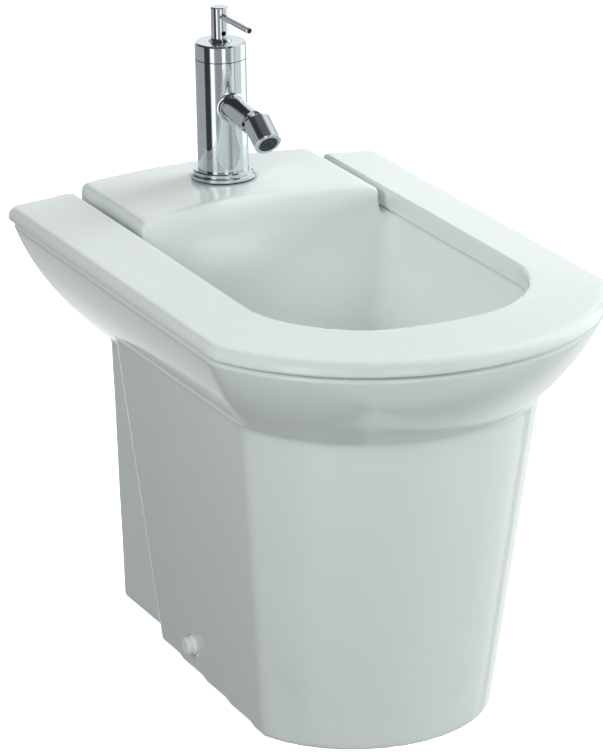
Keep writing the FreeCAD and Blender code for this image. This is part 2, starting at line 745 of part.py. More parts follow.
def fixing_screws():
    """Two side screws from the pedestal into the floor brackets."""
    head = FIXING_HEAD_DIAMETER / 2
    shank = FIXING_SCREW_DIAMETER / 2
    tip = FIXING_SEAT_X - BRACKET_X + BRACKET_THICKNESS + BRACKET_BOSS_LENGTH
    base = BUSH_COLLAR_THICKNESS
    slot = FIXING_HEAD_HEIGHT / 2
    profile = [
        (0, -tip),
        (shank - 1, -tip),
        (shank, 1 - tip),
        (shank, base),
        (head, base),
        (head, base + FIXING_HEAD_HEIGHT - 1),
        (head - 1, base + FIXING_HEAD_HEIGHT),
        (0, base + FIXING_HEAD_HEIGHT),
    ]
    screw = revolve(profile, fixing_place(1, FIXING_SEAT_X), X_AXIS)
    slot_x = FIXING_SEAT_X + base + FIXING_HEAD_HEIGHT
    cross = [
        box((slot_x - slot, slot_x + 1), (FIXING_Y - w, FIXING_Y + w), (FIXING_Z - h, FIXING_Z + h))
        for w, h in ((head * 0.6, 0.7), (0.7, head * 0.6))
    ]
    return mirrored(screw.cut(cross))


def floor_brackets():
    """Two angle brackets that are screwed to the floor inside the pedestal."""
    wall = BRACKET_X - BRACKET_THICKNESS
    width = (FIXING_Y - BRACKET_WIDTH / 2, FIXING_Y + BRACKET_WIDTH / 2)
    upright = box((wall, BRACKET_X), width, (0, BRACKET_HEIGHT))
    foot = box((wall - BRACKET_FOOT_LENGTH, wall), width, (0, BRACKET_THICKNESS))
    boss = rod(BRACKET_BOSS_DIAMETER / 2, fixing_place(1, wall), -X_AXIS, BRACKET_BOSS_LENGTH)
    bracket = upright.fuse([foot, boss])
    hole = Vector(wall - BRACKET_FOOT_LENGTH / 2, FIXING_Y, -1)
    bracket = bracket.cut(
        [
            rod(BRACKET_HOLE_DIAMETER / 2, hole, Z_AXIS, BRACKET_THICKNESS + 2),
            rod(FIXING_SCREW_DIAMETER / 2, fixing_place(1, BRACKET_X), -X_AXIS, BRACKET_FOOT_LENGTH),
        ]
    )
    return mirrored(bracket.removeSplitter())


WASTE_AXIS = Vector(0, WASTE_Y, 0)
WASTE_SEAT = BASIN_FLOOR - WASTE_FLANGE_RECESS
WASTE_TOP = WASTE_SEAT + WASTE_GASKET_THICKNESS + WASTE_FLANGE_THICKNESS
WASTE_UNDERSIDE = BASIN_FLOOR - CERAMIC_WALL
WASTE_TAIL_END = WASTE_UNDERSIDE - WASTE_TAIL_LENGTH
BRIDGE_TOP = WASTE_TOP - WASTE_NECK_DEPTH


def waste_spin(profile):
    """Turned piece on the axis of the waste, from radii and real heights."""
    return revolve(profile, WASTE_AXIS)


def waste_body():
    """Flanged brass waste with a threaded tail and a bridge for the click mechanism."""
    flange = WASTE_FLANGE_DIAMETER / 2
    tail = WASTE_TAIL_DIAMETER / 2
    flange_low = WASTE_SEAT + WASTE_GASKET_THICKNESS
    neck = WASTE_NECK_BORE / 2
    bore = WASTE_TAIL_BORE / 2
    bridge_low = BRIDGE_TOP - WASTE_BRIDGE_THICKNESS
    shell = waste_spin(
        [
            (bore, WASTE_TAIL_END),
            (tail - 1, WASTE_TAIL_END),
            (tail, WASTE_TAIL_END + 1),
            (tail, flange_low),
            (flange, flange_low),
            (flange, flange_low + WASTE_FLANGE_THICKNESS / 3),
            (flange - 2, WASTE_TOP),
            (neck + 1, WASTE_TOP),
            (neck, WASTE_TOP - 1),
            (neck, BRIDGE_TOP),
            (bore, bridge_low),
        ]
    )
    click = CLICK_DIAMETER / 2
    hub = tube(click + 2, click, WASTE_AXIS + Z_AXIS * bridge_low, Z_AXIS, WASTE_BRIDGE_THICKNESS)
    spoke_width = WASTE_BRIDGE_THICKNESS / 2
    reach = tail - 1
    spokes = [
        box((-reach, reach), (WASTE_Y - spoke_width, WASTE_Y + spoke_width), (bridge_low, BRIDGE_TOP)),
        box((-spoke_width, spoke_width), (WASTE_Y - reach, WASTE_Y + reach), (bridge_low, BRIDGE_TOP)),
    ]
    clear_hub = rod(CLICK_DIAMETER / 2, WASTE_AXIS + Z_AXIS * bridge_low, Z_AXIS, WASTE_BRIDGE_THICKNESS)
    bridge = spokes[0].fuse(spokes[1]).cut(clear_hub)
    return shell.fuse([hub, bridge]).removeSplitter()


def waste_upper_gasket():
    """Rubber ring between the waste flange and the basin."""
    return tube(
        WASTE_FLANGE_DIAMETER / 2 - 1,
        WASTE_TAIL_DIAMETER / 2 + SLIDE_CLEARANCE,
        WASTE_AXIS + Z_AXIS * WASTE_SEAT,
        Z_AXIS,
        WASTE_GASKET_THICKNESS,
    )


def waste_lower_gasket():
    """Rubber ring under the basin, pressed up by the back nut."""
    start = WASTE_AXIS + Z_AXIS * (WASTE_UNDERSIDE - WASTE_GASKET_THICKNESS)
    return tube(
        WASTE_NUT_DIAMETER / 2 - 1,
        WASTE_TAIL_DIAMETER / 2 + SLIDE_CLEARANCE,
        start,
        Z_AXIS,
        WASTE_GASKET_THICKNESS,
    )


def waste_back_nut():
    """Flanged hexagon nut that clamps the waste to the basin."""
    top = WASTE_UNDERSIDE - WASTE_GASKET_THICKNESS
    flange = WASTE_NUT_DIAMETER / 2
    flange_thickness = WASTE_NUT_HEIGHT / 4
    disc = rod(flange, WASTE_AXIS + Z_AXIS * (top - flange_thickness), Z_AXIS, flange_thickness)
    foot = WASTE_AXIS + Z_AXIS * (top - WASTE_NUT_HEIGHT)
    hexagon = hex_bar(WASTE_NUT_DIAMETER - 6, foot, WASTE_NUT_HEIGHT)
    bore = rod(WASTE_TAIL_DIAMETER / 2, foot, Z_AXIS, WASTE_NUT_HEIGHT)
    return disc.fuse(hexagon).cut(bore).removeSplitter()


def hex_bar(across_flats, start, height):
    """Upright hexagonal bar."""
    radius = across_flats / sqrt(3)
    corners = [
        start + Vector(radius * cos(radians(60 * k)), radius * sin(radians(60 * k)), 0) for k in range(6)
    ]
    return prism(Part.makePolygon(corners + corners[:1]), height)


def click_cartridge():
    """Sleeve of the push-push mechanism, screwed into the bridge of the waste."""
    low = BRIDGE_TOP - WASTE_BRIDGE_THICKNESS
    outer = CLICK_DIAMETER / 2
    bore = PLUG_STEM_DIAMETER / 2 + RUNNING_CLEARANCE
    return waste_spin(
        [
            (0, low - CLICK_HEIGHT + WASTE_BRIDGE_THICKNESS),
            (outer - 2, low - CLICK_HEIGHT + WASTE_BRIDGE_THICKNESS),
            (outer, low - CLICK_HEIGHT + WASTE_BRIDGE_THICKNESS + 2),
            (outer, BRIDGE_TOP),
            (bore, BRIDGE_TOP),
            (bore, low - CLICK_HEIGHT + WASTE_BRIDGE_THICKNESS + 2),
            (0, low - CLICK_HEIGHT + WASTE_BRIDGE_THICKNESS + 2),
        ]
    )


PLUG_SEAT = WASTE_TOP + PLUG_TRAVEL + PLUG_CLEARANCE


def plug_cap():
    """Domed chrome lid of the click plug, shown open."""
    radius = PLUG_DIAMETER / 2
    top = PLUG_SEAT + PLUG_THICKNESS
    crown_radius = (radius ** 2 + PLUG_CROWN ** 2) / (2 * PLUG_CROWN)
    edge = PLUG_THICKNESS - PLUG_CROWN
    rim = Vector(radius, 0, PLUG_SEAT + edge)
    crown = Vector(0, 0, top)
    centre = Vector(0, 0, top - crown_radius)
    seat = Vector(radius - 1, 0, PLUG_SEAT)
    middle = Vector(0, 0, PLUG_SEAT)
    profile = Part.Wire([line(middle, seat), line(seat, rim), arc(centre, rim, crown), line(crown, middle)])
    lid = Part.Face(profile).revolve(Vector(0, 0, 0), Z_AXIS, 360)
    lid.translate(WASTE_AXIS)
    return lid


def plug_seal():
    """Rubber ring under the lid that closes the mouth of the waste."""
    return tube(
        PLUG_SEAL_DIAMETER / 2,
        PLUG_STEM_DIAMETER / 2,
        WASTE_AXIS + Z_AXIS * (PLUG_SEAT - PLUG_SEAL_THICKNESS),
        Z_AXIS,
        PLUG_SEAL_THICKNESS,
    )


def plug_stem():
    """Stem of the plug, sliding in the click mechanism."""
    foot = BRIDGE_TOP - CLICK_HEIGHT + 2 + PLUG_TRAVEL + PLUG_CLEARANCE
    return rod(PLUG_STEM_DIAMETER / 2, WASTE_AXIS + Z_AXIS * foot, Z_AXIS, PLUG_SEAT - foot)


TRAP_TOP = WASTE_TAIL_END - TRAP_BELOW_WASTE
TRAP_HEAD_BOTTOM = TRAP_TOP - TRAP_HEAD_HEIGHT
TRAP_CUP_TOP = TRAP_HEAD_BOTTOM + TRAP_CUP_LAP
TRAP_CUP_BOTTOM = TRAP_CUP_TOP - TRAP_CUP_HEIGHT
TRAP_PORT = Vector(0, WASTE_Y + TRAP_HEAD_DIAMETER / 2, TRAP_TOP - TRAP_OUTLET_DROP)
TRAP_PIPE_FIT = TRAP_PIPE_DIAMETER / 2 + SLIDE_CLEARANCE


def trap_dip_tube():
    """Tube that hangs from the waste and ends below the water line of the trap."""
    pipe = TRAP_PIPE_DIAMETER / 2
    low = TRAP_CUP_BOTTOM + TRAP_DIP_CLEARANCE
    flange_low = WASTE_TAIL_END - TRAP_TAIL_FLANGE
    return waste_spin(
        [
            (pipe - TRAP_PIPE_WALL, low),
            (pipe, low),
            (pipe, flange_low),
            (WASTE_TAIL_DIAMETER / 2, flange_low),
            (WASTE_TAIL_DIAMETER / 2, WASTE_TAIL_END),
            (pipe - TRAP_PIPE_WALL, WASTE_TAIL_END),
        ]
    )


def trap_nut(inner, place, direction):
    """Round union nut: its lip starts at place and its thread runs along direction."""
    outer = TRAP_NUT_DIAMETER / 2
    nut = revolve(
        [
            (TRAP_PIPE_FIT, 0),
            (outer - 2, 0),
            (outer, 2),
            (outer, TRAP_NUT_LENGTH),
            (inner, TRAP_NUT_LENGTH),
            (inner, TRAP_NUT_LIP),
            (TRAP_PIPE_FIT, TRAP_NUT_LIP),
        ],
        place,
        direction,
    )
    turn = FreeCAD.Rotation(Z_AXIS, direction)
    count = 12
    grooves = []
    for k in range(count):
        angle = radians(360 * k / count)
        spot = place + turn.multVec(Vector(outer * cos(angle), outer * sin(angle), TRAP_NUT_LIP + 1))
        grooves.append(rod(TRAP_NUT_GROOVE, spot, direction, TRAP_NUT_LENGTH))
    return nut.cut(grooves)


def trap_waste_nut():
    """Union nut that pulls the dip tube up against the waste."""
    low = WASTE_TAIL_END - TRAP_TAIL_FLANGE - TRAP_NUT_LIP
    return trap_nut(WASTE_TAIL_DIAMETER / 2, WASTE_AXIS + Z_AXIS * low, Z_AXIS)


def slip_seal(collar_end, direction):
    """Rubber ring between the end of a collar and the lip of its nut."""
    return tube(TRAP_COLLAR_DIAMETER / 2 - 1, TRAP_PIPE_FIT, collar_end, direction, TRAP_SEAL_THICKNESS)


def slip_nut(collar_end, direction):
    """Nut that squeezes a slip seal on to a pipe."""
    lip = collar_end + direction * (TRAP_SEAL_THICKNESS + TRAP_NUT_LIP)
    return trap_nut(TRAP_COLLAR_DIAMETER / 2, lip, direction * -1)


TRAP_INLET_END = WASTE_AXIS + Z_AXIS * (TRAP_TOP + TRAP_COLLAR_LENGTH)
TRAP_OUTLET_END = TRAP_PORT + Y_AXIS * TRAP_COLLAR_LENGTH


def trap_head():
    """Head of the bottle trap with its inlet and outlet collars."""
    outer = TRAP_HEAD_DIAMETER / 2
    collar = TRAP_COLLAR_DIAMETER / 2
    inner = outer - TRAP_HEAD_WALL
    centre = WASTE_AXIS + Z_AXIS * TRAP_HEAD_BOTTOM
    port_start = Vector(0, WASTE_Y, TRAP_PORT.z)
    solid = rod(outer, centre, Z_AXIS, TRAP_HEAD_HEIGHT).fuse(
        [
            rod(collar, centre, Z_AXIS, TRAP_HEAD_HEIGHT + TRAP_COLLAR_LENGTH),
            rod(collar, port_start, Y_AXIS, outer + TRAP_COLLAR_LENGTH),
        ]
    )
    return solid.cut(
        [
            rod(inner, centre, Z_AXIS, TRAP_HEAD_HEIGHT - TRAP_HEAD_WALL),
            rod(TRAP_PIPE_FIT, centre, Z_AXIS, TRAP_HEAD_HEIGHT + TRAP_COLLAR_LENGTH),
            rod(TRAP_PIPE_FIT, port_start, Y_AXIS, outer + TRAP_COLLAR_LENGTH),
        ]
    ).removeSplitter()


def trap_cup():
    """Screw-on cup of the trap, which comes off to clear it."""
    outer = TRAP_CUP_DIAMETER / 2
    thread = TRAP_HEAD_DIAMETER / 2 + CARTRIDGE_FIT
    inner = TRAP_HEAD_DIAMETER / 2 - TRAP_HEAD_WALL
    shoulder = TRAP_HEAD_BOTTOM - TRAP_GASKET_THICKNESS
    floor = TRAP_CUP_BOTTOM + TRAP_HEAD_WALL
    edge = 2 * TRAP_HEAD_WALL
    return waste_spin(
        [
            (0, TRAP_CUP_BOTTOM),
            (outer - edge, TRAP_CUP_BOTTOM),
            (outer, TRAP_CUP_BOTTOM + edge),
            (outer, TRAP_CUP_TOP),
            (thread, TRAP_CUP_TOP),
            (thread, shoulder),
            (inner, shoulder),
            (inner, floor),
            (0, floor),
        ]
    )


def trap_cup_gasket():
    """Flat rubber ring between the cup and the head of the trap."""
    outer = TRAP_HEAD_DIAMETER / 2
    start = WASTE_AXIS + Z_AXIS * (TRAP_HEAD_BOTTOM - TRAP_GASKET_THICKNESS)
    return tube(outer, outer - TRAP_HEAD_WALL, start, Z_AXIS, TRAP_GASKET_THICKNESS)


def trap_outlet_pipe():
    """Waste pipe from the trap to the wall, with its end widened for the wall's socket."""
    start = TRAP_PORT - Y_AXIS * TRAP_HEAD_WALL
    length = REAR - TRAP_OUTLET_INSET - start.y
    pipe = TRAP_PIPE_DIAMETER / 2
    spigot = TRAP_SPIGOT_DIAMETER / 2
    flare_end = length - TRAP_SPIGOT_LENGTH
    flare_start = flare_end - TRAP_SPIGOT_FLARE
    return revolve(
        [
            (pipe - TRAP_PIPE_WALL, 0),
            (pipe, 0),
            (pipe, flare_start),
            (spigot, flare_end),
            (spigot, length),
            (spigot - TRAP_PIPE_WALL, length),
            (spigot - TRAP_PIPE_WALL, flare_end),
            (pipe - TRAP_PIPE_WALL, flare_start),
        ],
        start,
        Y_AXIS,
    )


def tap_place(height, forward=0.0, sideways=0.0):
    """Point at a height above the tap's seat, ahead of its axis."""
    return Vector(sideways, TAP_Y - forward, TAP_BASE + height)


def tap_spin(profile):
    """Turned piece on the axis of the tap, from radii and heights above its seat."""
    return revolve(profile, tap_place(0))


def tap_gasket():
    """Rubber ring between the tap's flange and the deck."""
    return tube(
        TAP_FLANGE_STEP_DIAMETER / 2, TAP_HOLE_DIAMETER / 2, tap_place(0), Z_AXIS, TAP_GASKET_THICKNESS
    )


FLANGE_TOP = TAP_GASKET_THICKNESS + TAP_FLANGE_HEIGHT
BODY_FOOT = FLANGE_TOP - TAP_FLANGE_SOCKET


def tap_flange():
    """Stepped chrome flange round the foot of the mixer."""
    outer = TAP_FLANGE_DIAMETER / 2
    step = TAP_FLANGE_STEP_DIAMETER / 2
    bore = TAP_SPIGOT_DIAMETER / 2 + SLIDE_CLEARANCE
    socket = TAP_BODY_DIAMETER / 2 + CARTRIDGE_FIT
    low = TAP_GASKET_THICKNESS
    edge = TAP_FLANGE_EDGE
    return tap_spin(
        [
            (bore, low),
            (outer - edge / 2, low),
            (outer, low + edge / 2),
            (outer, low + TAP_FLANGE_LOWER - edge),
            (outer - edge, low + TAP_FLANGE_LOWER),
            (step, low + TAP_FLANGE_LOWER),
            (step, FLANGE_TOP - edge),
            (step - edge, FLANGE_TOP),
            (socket, FLANGE_TOP),
            (socket, BODY_FOOT),
            (bore, BODY_FOOT),
        ]
    )


def spout_end():
    """Distance from the tap's axis to the end of the spout, clear of the turning nozzle."""
    swing = sqrt(NOZZLE_BEHIND_BALL ** 2 + (NOZZLE_DIAMETER / 2) ** 2)
    return BALL_REACH - swing - NOZZLE_SPOUT_GAP


def inlet_places(height):
    """Axis points of the cold and hot inlets at a height."""
    return [tap_place(height, -INLET_SETBACK, side * INLET_SPACING / 2) for side in (-1, 1)]


def mixer_body():
    """Brass body and spout with the cartridge chamber, inlets and waterways."""
    outer = TAP_BODY_DIAMETER / 2
    chamber = CARTRIDGE_DIAMETER / 2 + CARTRIDGE_FIT
    column = tap_spin(
        [
            (0, BODY_FOOT),
            (outer, BODY_FOOT),
            (outer, TAP_SEAM_HEIGHT - TAP_SEAM_CHAMFER),
            (outer - TAP_SEAM_CHAMFER, TAP_SEAM_HEIGHT),
            (0, TAP_SEAM_HEIGHT),
        ]
    )
    spout = rod(SPOUT_DIAMETER / 2, SPOUT_ROOT, SPOUT_DIRECTION, spout_end())
    shell = column.fuse(spout).removeSplitter()
    root = edges_where(
        shell,
        lambda b: b.YMax < TAP_Y - outer / 2 and b.YMin > TAP_Y - outer - SPOUT_DIAMETER / 2
        and b.XLength > SPOUT_DIAMETER / 3 and b.ZLength > SPOUT_DIAMETER / 3,
    )
    shell = shell.makeFillet(SPOUT_ROOT_ROUND, root)
    spigot = rod(TAP_SPIGOT_DIAMETER / 2, tap_place(TAP_SPIGOT_LIFT), Z_AXIS, BODY_FOOT - TAP_SPIGOT_LIFT)
    neck = rod(TAP_NECK_DIAMETER / 2, tap_place(TAP_SEAM_HEIGHT), Z_AXIS, TAP_NECK_HEIGHT)
    passage = PASSAGE_DIAMETER / 2
    rise = CARTRIDGE_FLOOR - TAP_SPIGOT_LIFT
    cuts = [
        rod(chamber, tap_place(CARTRIDGE_FLOOR), Z_AXIS, TAP_SEAM_HEIGHT),
        rod(SPOUT_BORE / 2, SPOUT_ROOT + SPOUT_DIRECTION * PASSAGE_DIAMETER, SPOUT_DIRECTION, BALL_REACH),
        rod(passage, tap_place(SPOUT_HEIGHT, OUTLET_OFFSET), Z_AXIS, CARTRIDGE_FLOOR - SPOUT_HEIGHT),
        rod(STUD_DIAMETER / 2, tap_place(TAP_SPIGOT_LIFT, STUD_OFFSET), Z_AXIS, STUD_GRIP),
    ]
    for inlet in inlet_places(TAP_SPIGOT_LIFT):
        cuts.append(rod(INLET_DIAMETER / 2, inlet, Z_AXIS, INLET_DEPTH))
        cuts.append(rod(passage, inlet, Z_AXIS, rise))
    return shell.fuse([spigot, neck]).cut(cuts).removeSplitter()


def mixer_cap():
    """Screw cap that closes the body and seats the dome of the handle."""
    outer = TAP_BODY_DIAMETER / 2
    top = TAP_SEAM_HEIGHT + TAP_CAP_HEIGHT
    edge = TAP_CAP_ROUND
    blank = tap_spin(
        [
            (0, TAP_SEAM_HEIGHT),
            (outer - TAP_SEAM_CHAMFER, TAP_SEAM_HEIGHT),
            (outer, TAP_SEAM_HEIGHT + TAP_SEAM_CHAMFER),
            (outer, top - edge),
            (outer - edge, top),
            (0, top),
        ]
    )
    blank = blank.makeFillet(edge / 2, edges_where(blank, lambda b: b.ZMin > TAP_BASE + top - edge - 0.1))
    neck = TAP_NECK_DIAMETER / 2 + CARTRIDGE_FIT
    throat = DOME_RADIUS + 2 * DOME_WALL
    throat_top = PIVOT_HEIGHT + 2 * DOME_ABOVE_PIVOT
    return blank.cut(
        [
            rod(neck, tap_place(TAP_SEAM_HEIGHT), Z_AXIS, TAP_NECK_HEIGHT + DOME_CLEARANCE),
            rod(throat, tap_place(TAP_SEAM_HEIGHT), Z_AXIS, throat_top - TAP_SEAM_HEIGHT),
            Part.makeSphere(DOME_RADIUS + DOME_CLEARANCE, tap_place(PIVOT_HEIGHT)),
        ]
    )


PIVOT_HEIGHT = TAP_SEAM_HEIGHT + TAP_CAP_HEIGHT - PIVOT_DEPTH
TURRET_TOP = TAP_SEAM_HEIGHT + TAP_CAP_HEIGHT + TURRET_HEIGHT
LEVER_HEIGHT = TURRET_TOP - LEVER_BELOW_TOP
GRUB_Z = TAP_SEAM_HEIGHT + TAP_CAP_HEIGHT + GRUB_HEIGHT
LEVER_BACK = TURRET_DIAMETER / 4
STEM_TOP = PIVOT_HEIGHT + STEM_SOCKET_DEPTH


def handle_turret():
    """Small turret on a spherical skirt that fills the opening of the cap."""
    radius = TURRET_DIAMETER / 2
    pivot = tap_place(PIVOT_HEIGHT)
    post = tap_spin(
        [
            (0, PIVOT_HEIGHT + DOME_ABOVE_PIVOT),
            (radius, PIVOT_HEIGHT + DOME_ABOVE_PIVOT),
            (radius, TURRET_TOP - TURRET_CHAMFER),
            (radius - TURRET_CHAMFER, TURRET_TOP),
            (0, TURRET_TOP),
        ]
    )
    above = rod(2 * DOME_RADIUS, tap_place(PIVOT_HEIGHT + DOME_ABOVE_PIVOT), Z_AXIS, 2 * DOME_RADIUS)
    skirt = Part.makeSphere(DOME_RADIUS, pivot).common(above)
    cuts = [
        Part.makeSphere(DOME_RADIUS - DOME_WALL, pivot),
        rod(STEM_DIAMETER / 2, pivot, Z_AXIS, STEM_SOCKET_DEPTH),
        rod(LEVER_DIAMETER / 2, tap_place(LEVER_HEIGHT, -LEVER_BACK), Y_AXIS * -1, LEVER_REACH),
        rod(GRUB_DIAMETER / 2, tap_place(GRUB_Z), Y_AXIS * -1, LEVER_REACH),
    ]
    return post.fuse(skirt).cut(cuts).removeSplitter()


def lever_pin():
    """Slim round lever that points forwards out of the turret."""
    start = tap_place(LEVER_HEIGHT, -LEVER_BACK)
    pin = rod(LEVER_DIAMETER / 2, start, Y_AXIS * -1, LEVER_BACK + LEVER_REACH)
    tip = edges_where(pin, lambda b: b.YMax < TAP_Y - LEVER_REACH + 0.1)
    return pin.makeChamfer(LEVER_EDGE, tip)


def grub_screw():
    """Set screw that clamps the turret to the stem, with a hexagon socket."""
    radius = TURRET_DIAMETER / 2
    start = tap_place(GRUB_Z, STEM_DIAMETER / 2)
    length = radius - GRUB_RECESS - STEM_DIAMETER / 2
    screw = rod(GRUB_DIAMETER / 2, start, Y_AXIS * -1, length)
    socket = hex_bar(GRUB_SOCKET, Vector(0, 0, 0), length)
    socket.Placement = FreeCAD.Placement(
        tap_place(GRUB_Z, STEM_DIAMETER / 2 + length / 2), FreeCAD.Rotation(Z_AXIS, Y_AXIS * -1)
    )
    return screw.cut(socket)


def cartridge_stem():
    """Lever stem of the cartridge: socket end, pivot eye and the toe that drives the disc."""
    shank_top = PIVOT_HEIGHT - STEM_BELOW_PIVOT
    toe = PIVOT_HEIGHT - STEM_ARM
    post = rod(STEM_DIAMETER / 2, tap_place(shank_top), Z_AXIS, STEM_TOP - shank_top)
    shank = rod(STEM_SHANK_DIAMETER / 2, tap_place(toe), Z_AXIS, shank_top - toe)
    ball = Part.makeSphere(STEM_TOE_DIAMETER / 2, tap_place(toe))
    eye = PIVOT_PIN_DIAMETER / 2 + RUNNING_CLEARANCE
    hole = rod(eye, tap_place(PIVOT_HEIGHT, 0, -STEM_DIAMETER), X_AXIS, 2 * STEM_DIAMETER)
    return post.fuse([shank, ball]).cut(hole).removeSplitter()


EAR_INNER = STEM_DIAMETER / 2 + SLIDE_CLEARANCE
EAR_OUTER = EAR_INNER + EAR_THICKNESS
ROTOR_TOP = CARTRIDGE_TOP - SLIDE_CLEARANCE
ROTOR_LOW = ROTOR_TOP - ROTOR_THICKNESS
FIXED_DISC_LOW = CARTRIDGE_FLOOR + CARTRIDGE_SEAL_THICKNESS
MOVING_DISC_LOW = FIXED_DISC_LOW + FIXED_DISC_THICKNESS
CARRIER_LOW = MOVING_DISC_LOW + MOVING_DISC_THICKNESS
CARRIER_TOP = CARRIER_LOW + CARRIER_THICKNESS
DISC_RADIUS = CARTRIDGE_BORE / 2 - RUNNING_CLEARANCE


def pivot_pin():
    """Pin across the ears of the rotor that the stem rocks on."""
    return rod(PIVOT_PIN_DIAMETER / 2, tap_place(PIVOT_HEIGHT, 0, -EAR_OUTER), X_AXIS, 2 * EAR_OUTER)


def cartridge_rotor():
    """Turning disc of the cartridge with two ears above and two guide rails below."""
    half_ear = EAR_WIDTH / 2
    swing = STEM_ARM * sin(radians(LIFT_ANGLE))
    disc = rod(DISC_RADIUS, tap_place(ROTOR_LOW), Z_AXIS, ROTOR_THICKNESS)
    ear_top = TAP_BASE + PIVOT_HEIGHT + EAR_ABOVE_PIVOT
    rail_inner = MOVING_DISC_DIAMETER / 2 + SLIDE_CLEARANCE
    rail_depth = (TAP_Y - rail_inner + EAR_THICKNESS, TAP_Y + rail_inner - EAR_THICKNESS)
    pieces = []
    for side in (-1, 1):
        ear_x = sorted((side * EAR_INNER, side * EAR_OUTER))
        pieces.append(box(ear_x, (TAP_Y - half_ear, TAP_Y + half_ear), (TAP_BASE + ROTOR_LOW, ear_top)))
        rail_x = sorted((side * rail_inner, side * (rail_inner + EAR_THICKNESS)))
        rail_z = (TAP_BASE + CARRIER_LOW + SLIDE_CLEARANCE, TAP_BASE + ROTOR_TOP)
        pieces.append(box(rail_x, rail_depth, rail_z))
    slot_half = STEM_SHANK_DIAMETER / 2 + 2 * SLIDE_CLEARANCE
    slot = box(
        (-slot_half, slot_half),
        (TAP_Y - swing - 2 * slot_half, TAP_Y + slot_half),
        (TAP_BASE + ROTOR_LOW - 1, TAP_BASE + ROTOR_TOP + 1),
    )
    hole = rod(PIVOT_PIN_DIAMETER / 2, tap_place(PIVOT_HEIGHT, 0, -EAR_OUTER), X_AXIS, 2 * EAR_OUTER)
    return disc.fuse(pieces).cut([slot, hole]).removeSplitter()


def disc_carrier():
    """Carrier that slides under the rotor and takes the moving disc along."""
    toe_fit = STEM_TOE_DIAMETER / 2 + SLIDE_CLEARANCE
    toe = PIVOT_HEIGHT - STEM_ARM
    floor = toe - toe_fit
    straight_top = toe + SLIDE_CLEARANCE
    flare = toe_fit + CARRIER_TOP - straight_top
    block = rod(MOVING_DISC_DIAMETER / 2, tap_place(CARRIER_LOW), Z_AXIS, CARRIER_THICKNESS)
    pocket = tap_spin(
        [
            (0, floor),
            (toe_fit, floor),
            (toe_fit, straight_top),
            (flare, CARRIER_TOP + 0.01),
            (0, CARRIER_TOP + 0.01),
        ]
    )
    return block.cut(pocket)


def moving_disc():
    """Ceramic disc with the mixing recess on its lower face."""
    disc = rod(MOVING_DISC_DIAMETER / 2, tap_place(MOVING_DISC_LOW), Z_AXIS, MOVING_DISC_THICKNESS)
    recess = rod(MOVING_DISC_DIAMETER / 4, tap_place(MOVING_DISC_LOW), Z_AXIS, MOVING_DISC_THICKNESS / 2)
    return disc.cut(recess)


def ported(thickness, low, hole):
    """Round plate in the cartridge with its two inlet ports and its outlet port."""
    plate = rod(DISC_RADIUS, tap_place(low), Z_AXIS, thickness)
    ports = [rod(hole, place, Z_AXIS, thickness) for place in inlet_places(low)]
    ports.append(rod(hole, tap_place(low, OUTLET_OFFSET), Z_AXIS, thickness))
    return plate.cut(ports)


def fixed_disc():
    """Ceramic disc with the three ports."""
    return ported(FIXED_DISC_THICKNESS, FIXED_DISC_LOW, PASSAGE_DIAMETER / 2)


def cartridge_seal():
    """Rubber plate that seals the cartridge to the floor of its chamber."""
    return ported(CARTRIDGE_SEAL_THICKNESS, CARTRIDGE_FLOOR, PASSAGE_DIAMETER / 2 + SLIDE_CLEARANCE)


def cartridge_housing():
    """Sleeve round the discs and the rotor."""
    return tube(
        CARTRIDGE_DIAMETER / 2,
        CARTRIDGE_BORE / 2,
        tap_place(CARTRIDGE_FLOOR),
        Z_AXIS,
        CARTRIDGE_TOP - CARTRIDGE_FLOOR,
    )


def retaining_nut():
    """Threaded ring that holds the cartridge down, with notches for a key."""
    place = tap_place(CARTRIDGE_TOP)
    ring = tube(CARTRIDGE_DIAMETER / 2, RETAINING_NUT_BORE / 2, place, Z_AXIS, RETAINING_NUT_HEIGHT)
    half = RETAINING_NUT_HEIGHT / 2
    top = TAP_BASE + CARTRIDGE_TOP + RETAINING_NUT_HEIGHT
    reach = CARTRIDGE_DIAMETER
    notches = [
        box((-reach, reach), (TAP_Y - half, TAP_Y + half), (top - half, top)),
        box((-half, half), (TAP_Y - reach, TAP_Y + reach), (top - half, top)),
    ]
    return ring.cut(notches)


def spout_ball():
    """Ball stud screwed into the end of the spout."""
    end = SPOUT_ROOT + SPOUT_DIRECTION * spout_end()
    shank_start = end - SPOUT_DIRECTION * BALL_SHANK_LENGTH
    shank = rod(SPOUT_BORE / 2, shank_start, SPOUT_DIRECTION, BALL_SHANK_LENGTH)
    neck = rod(BALL_NECK_DIAMETER / 2, end, SPOUT_DIRECTION, BALL_REACH - spout_end())
    ball = Part.makeSphere(BALL_DIAMETER / 2, BALL_CENTRE)
    waterway = rod(
        BALL_WATERWAY / 2, end - SPOUT_DIRECTION * BALL_SHANK_LENGTH, SPOUT_DIRECTION, BALL_REACH
    )
    return shank.fuse([neck, ball]).cut(waterway).removeSplitter()


BALL_SEAT = BALL_DIAMETER / 2 + BALL_CLEARANCE
PACKING_RADIUS = BALL_SEAT + PACKING_THICKNESS
SOCKET_RADIUS = PACKING_RADIUS + BALL_CLEARANCE


def nozzle_place(along):
    """Point on the nozzle's axis at a distance from the ball's centre."""
    return BALL_CENTRE + NOZZLE_DIRECTION * along


def nozzle_spin(profile):
    """Turned piece on the axis of the nozzle, from radii and distances along it."""
    return revolve(profile, BALL_CENTRE, NOZZLE_DIRECTION)


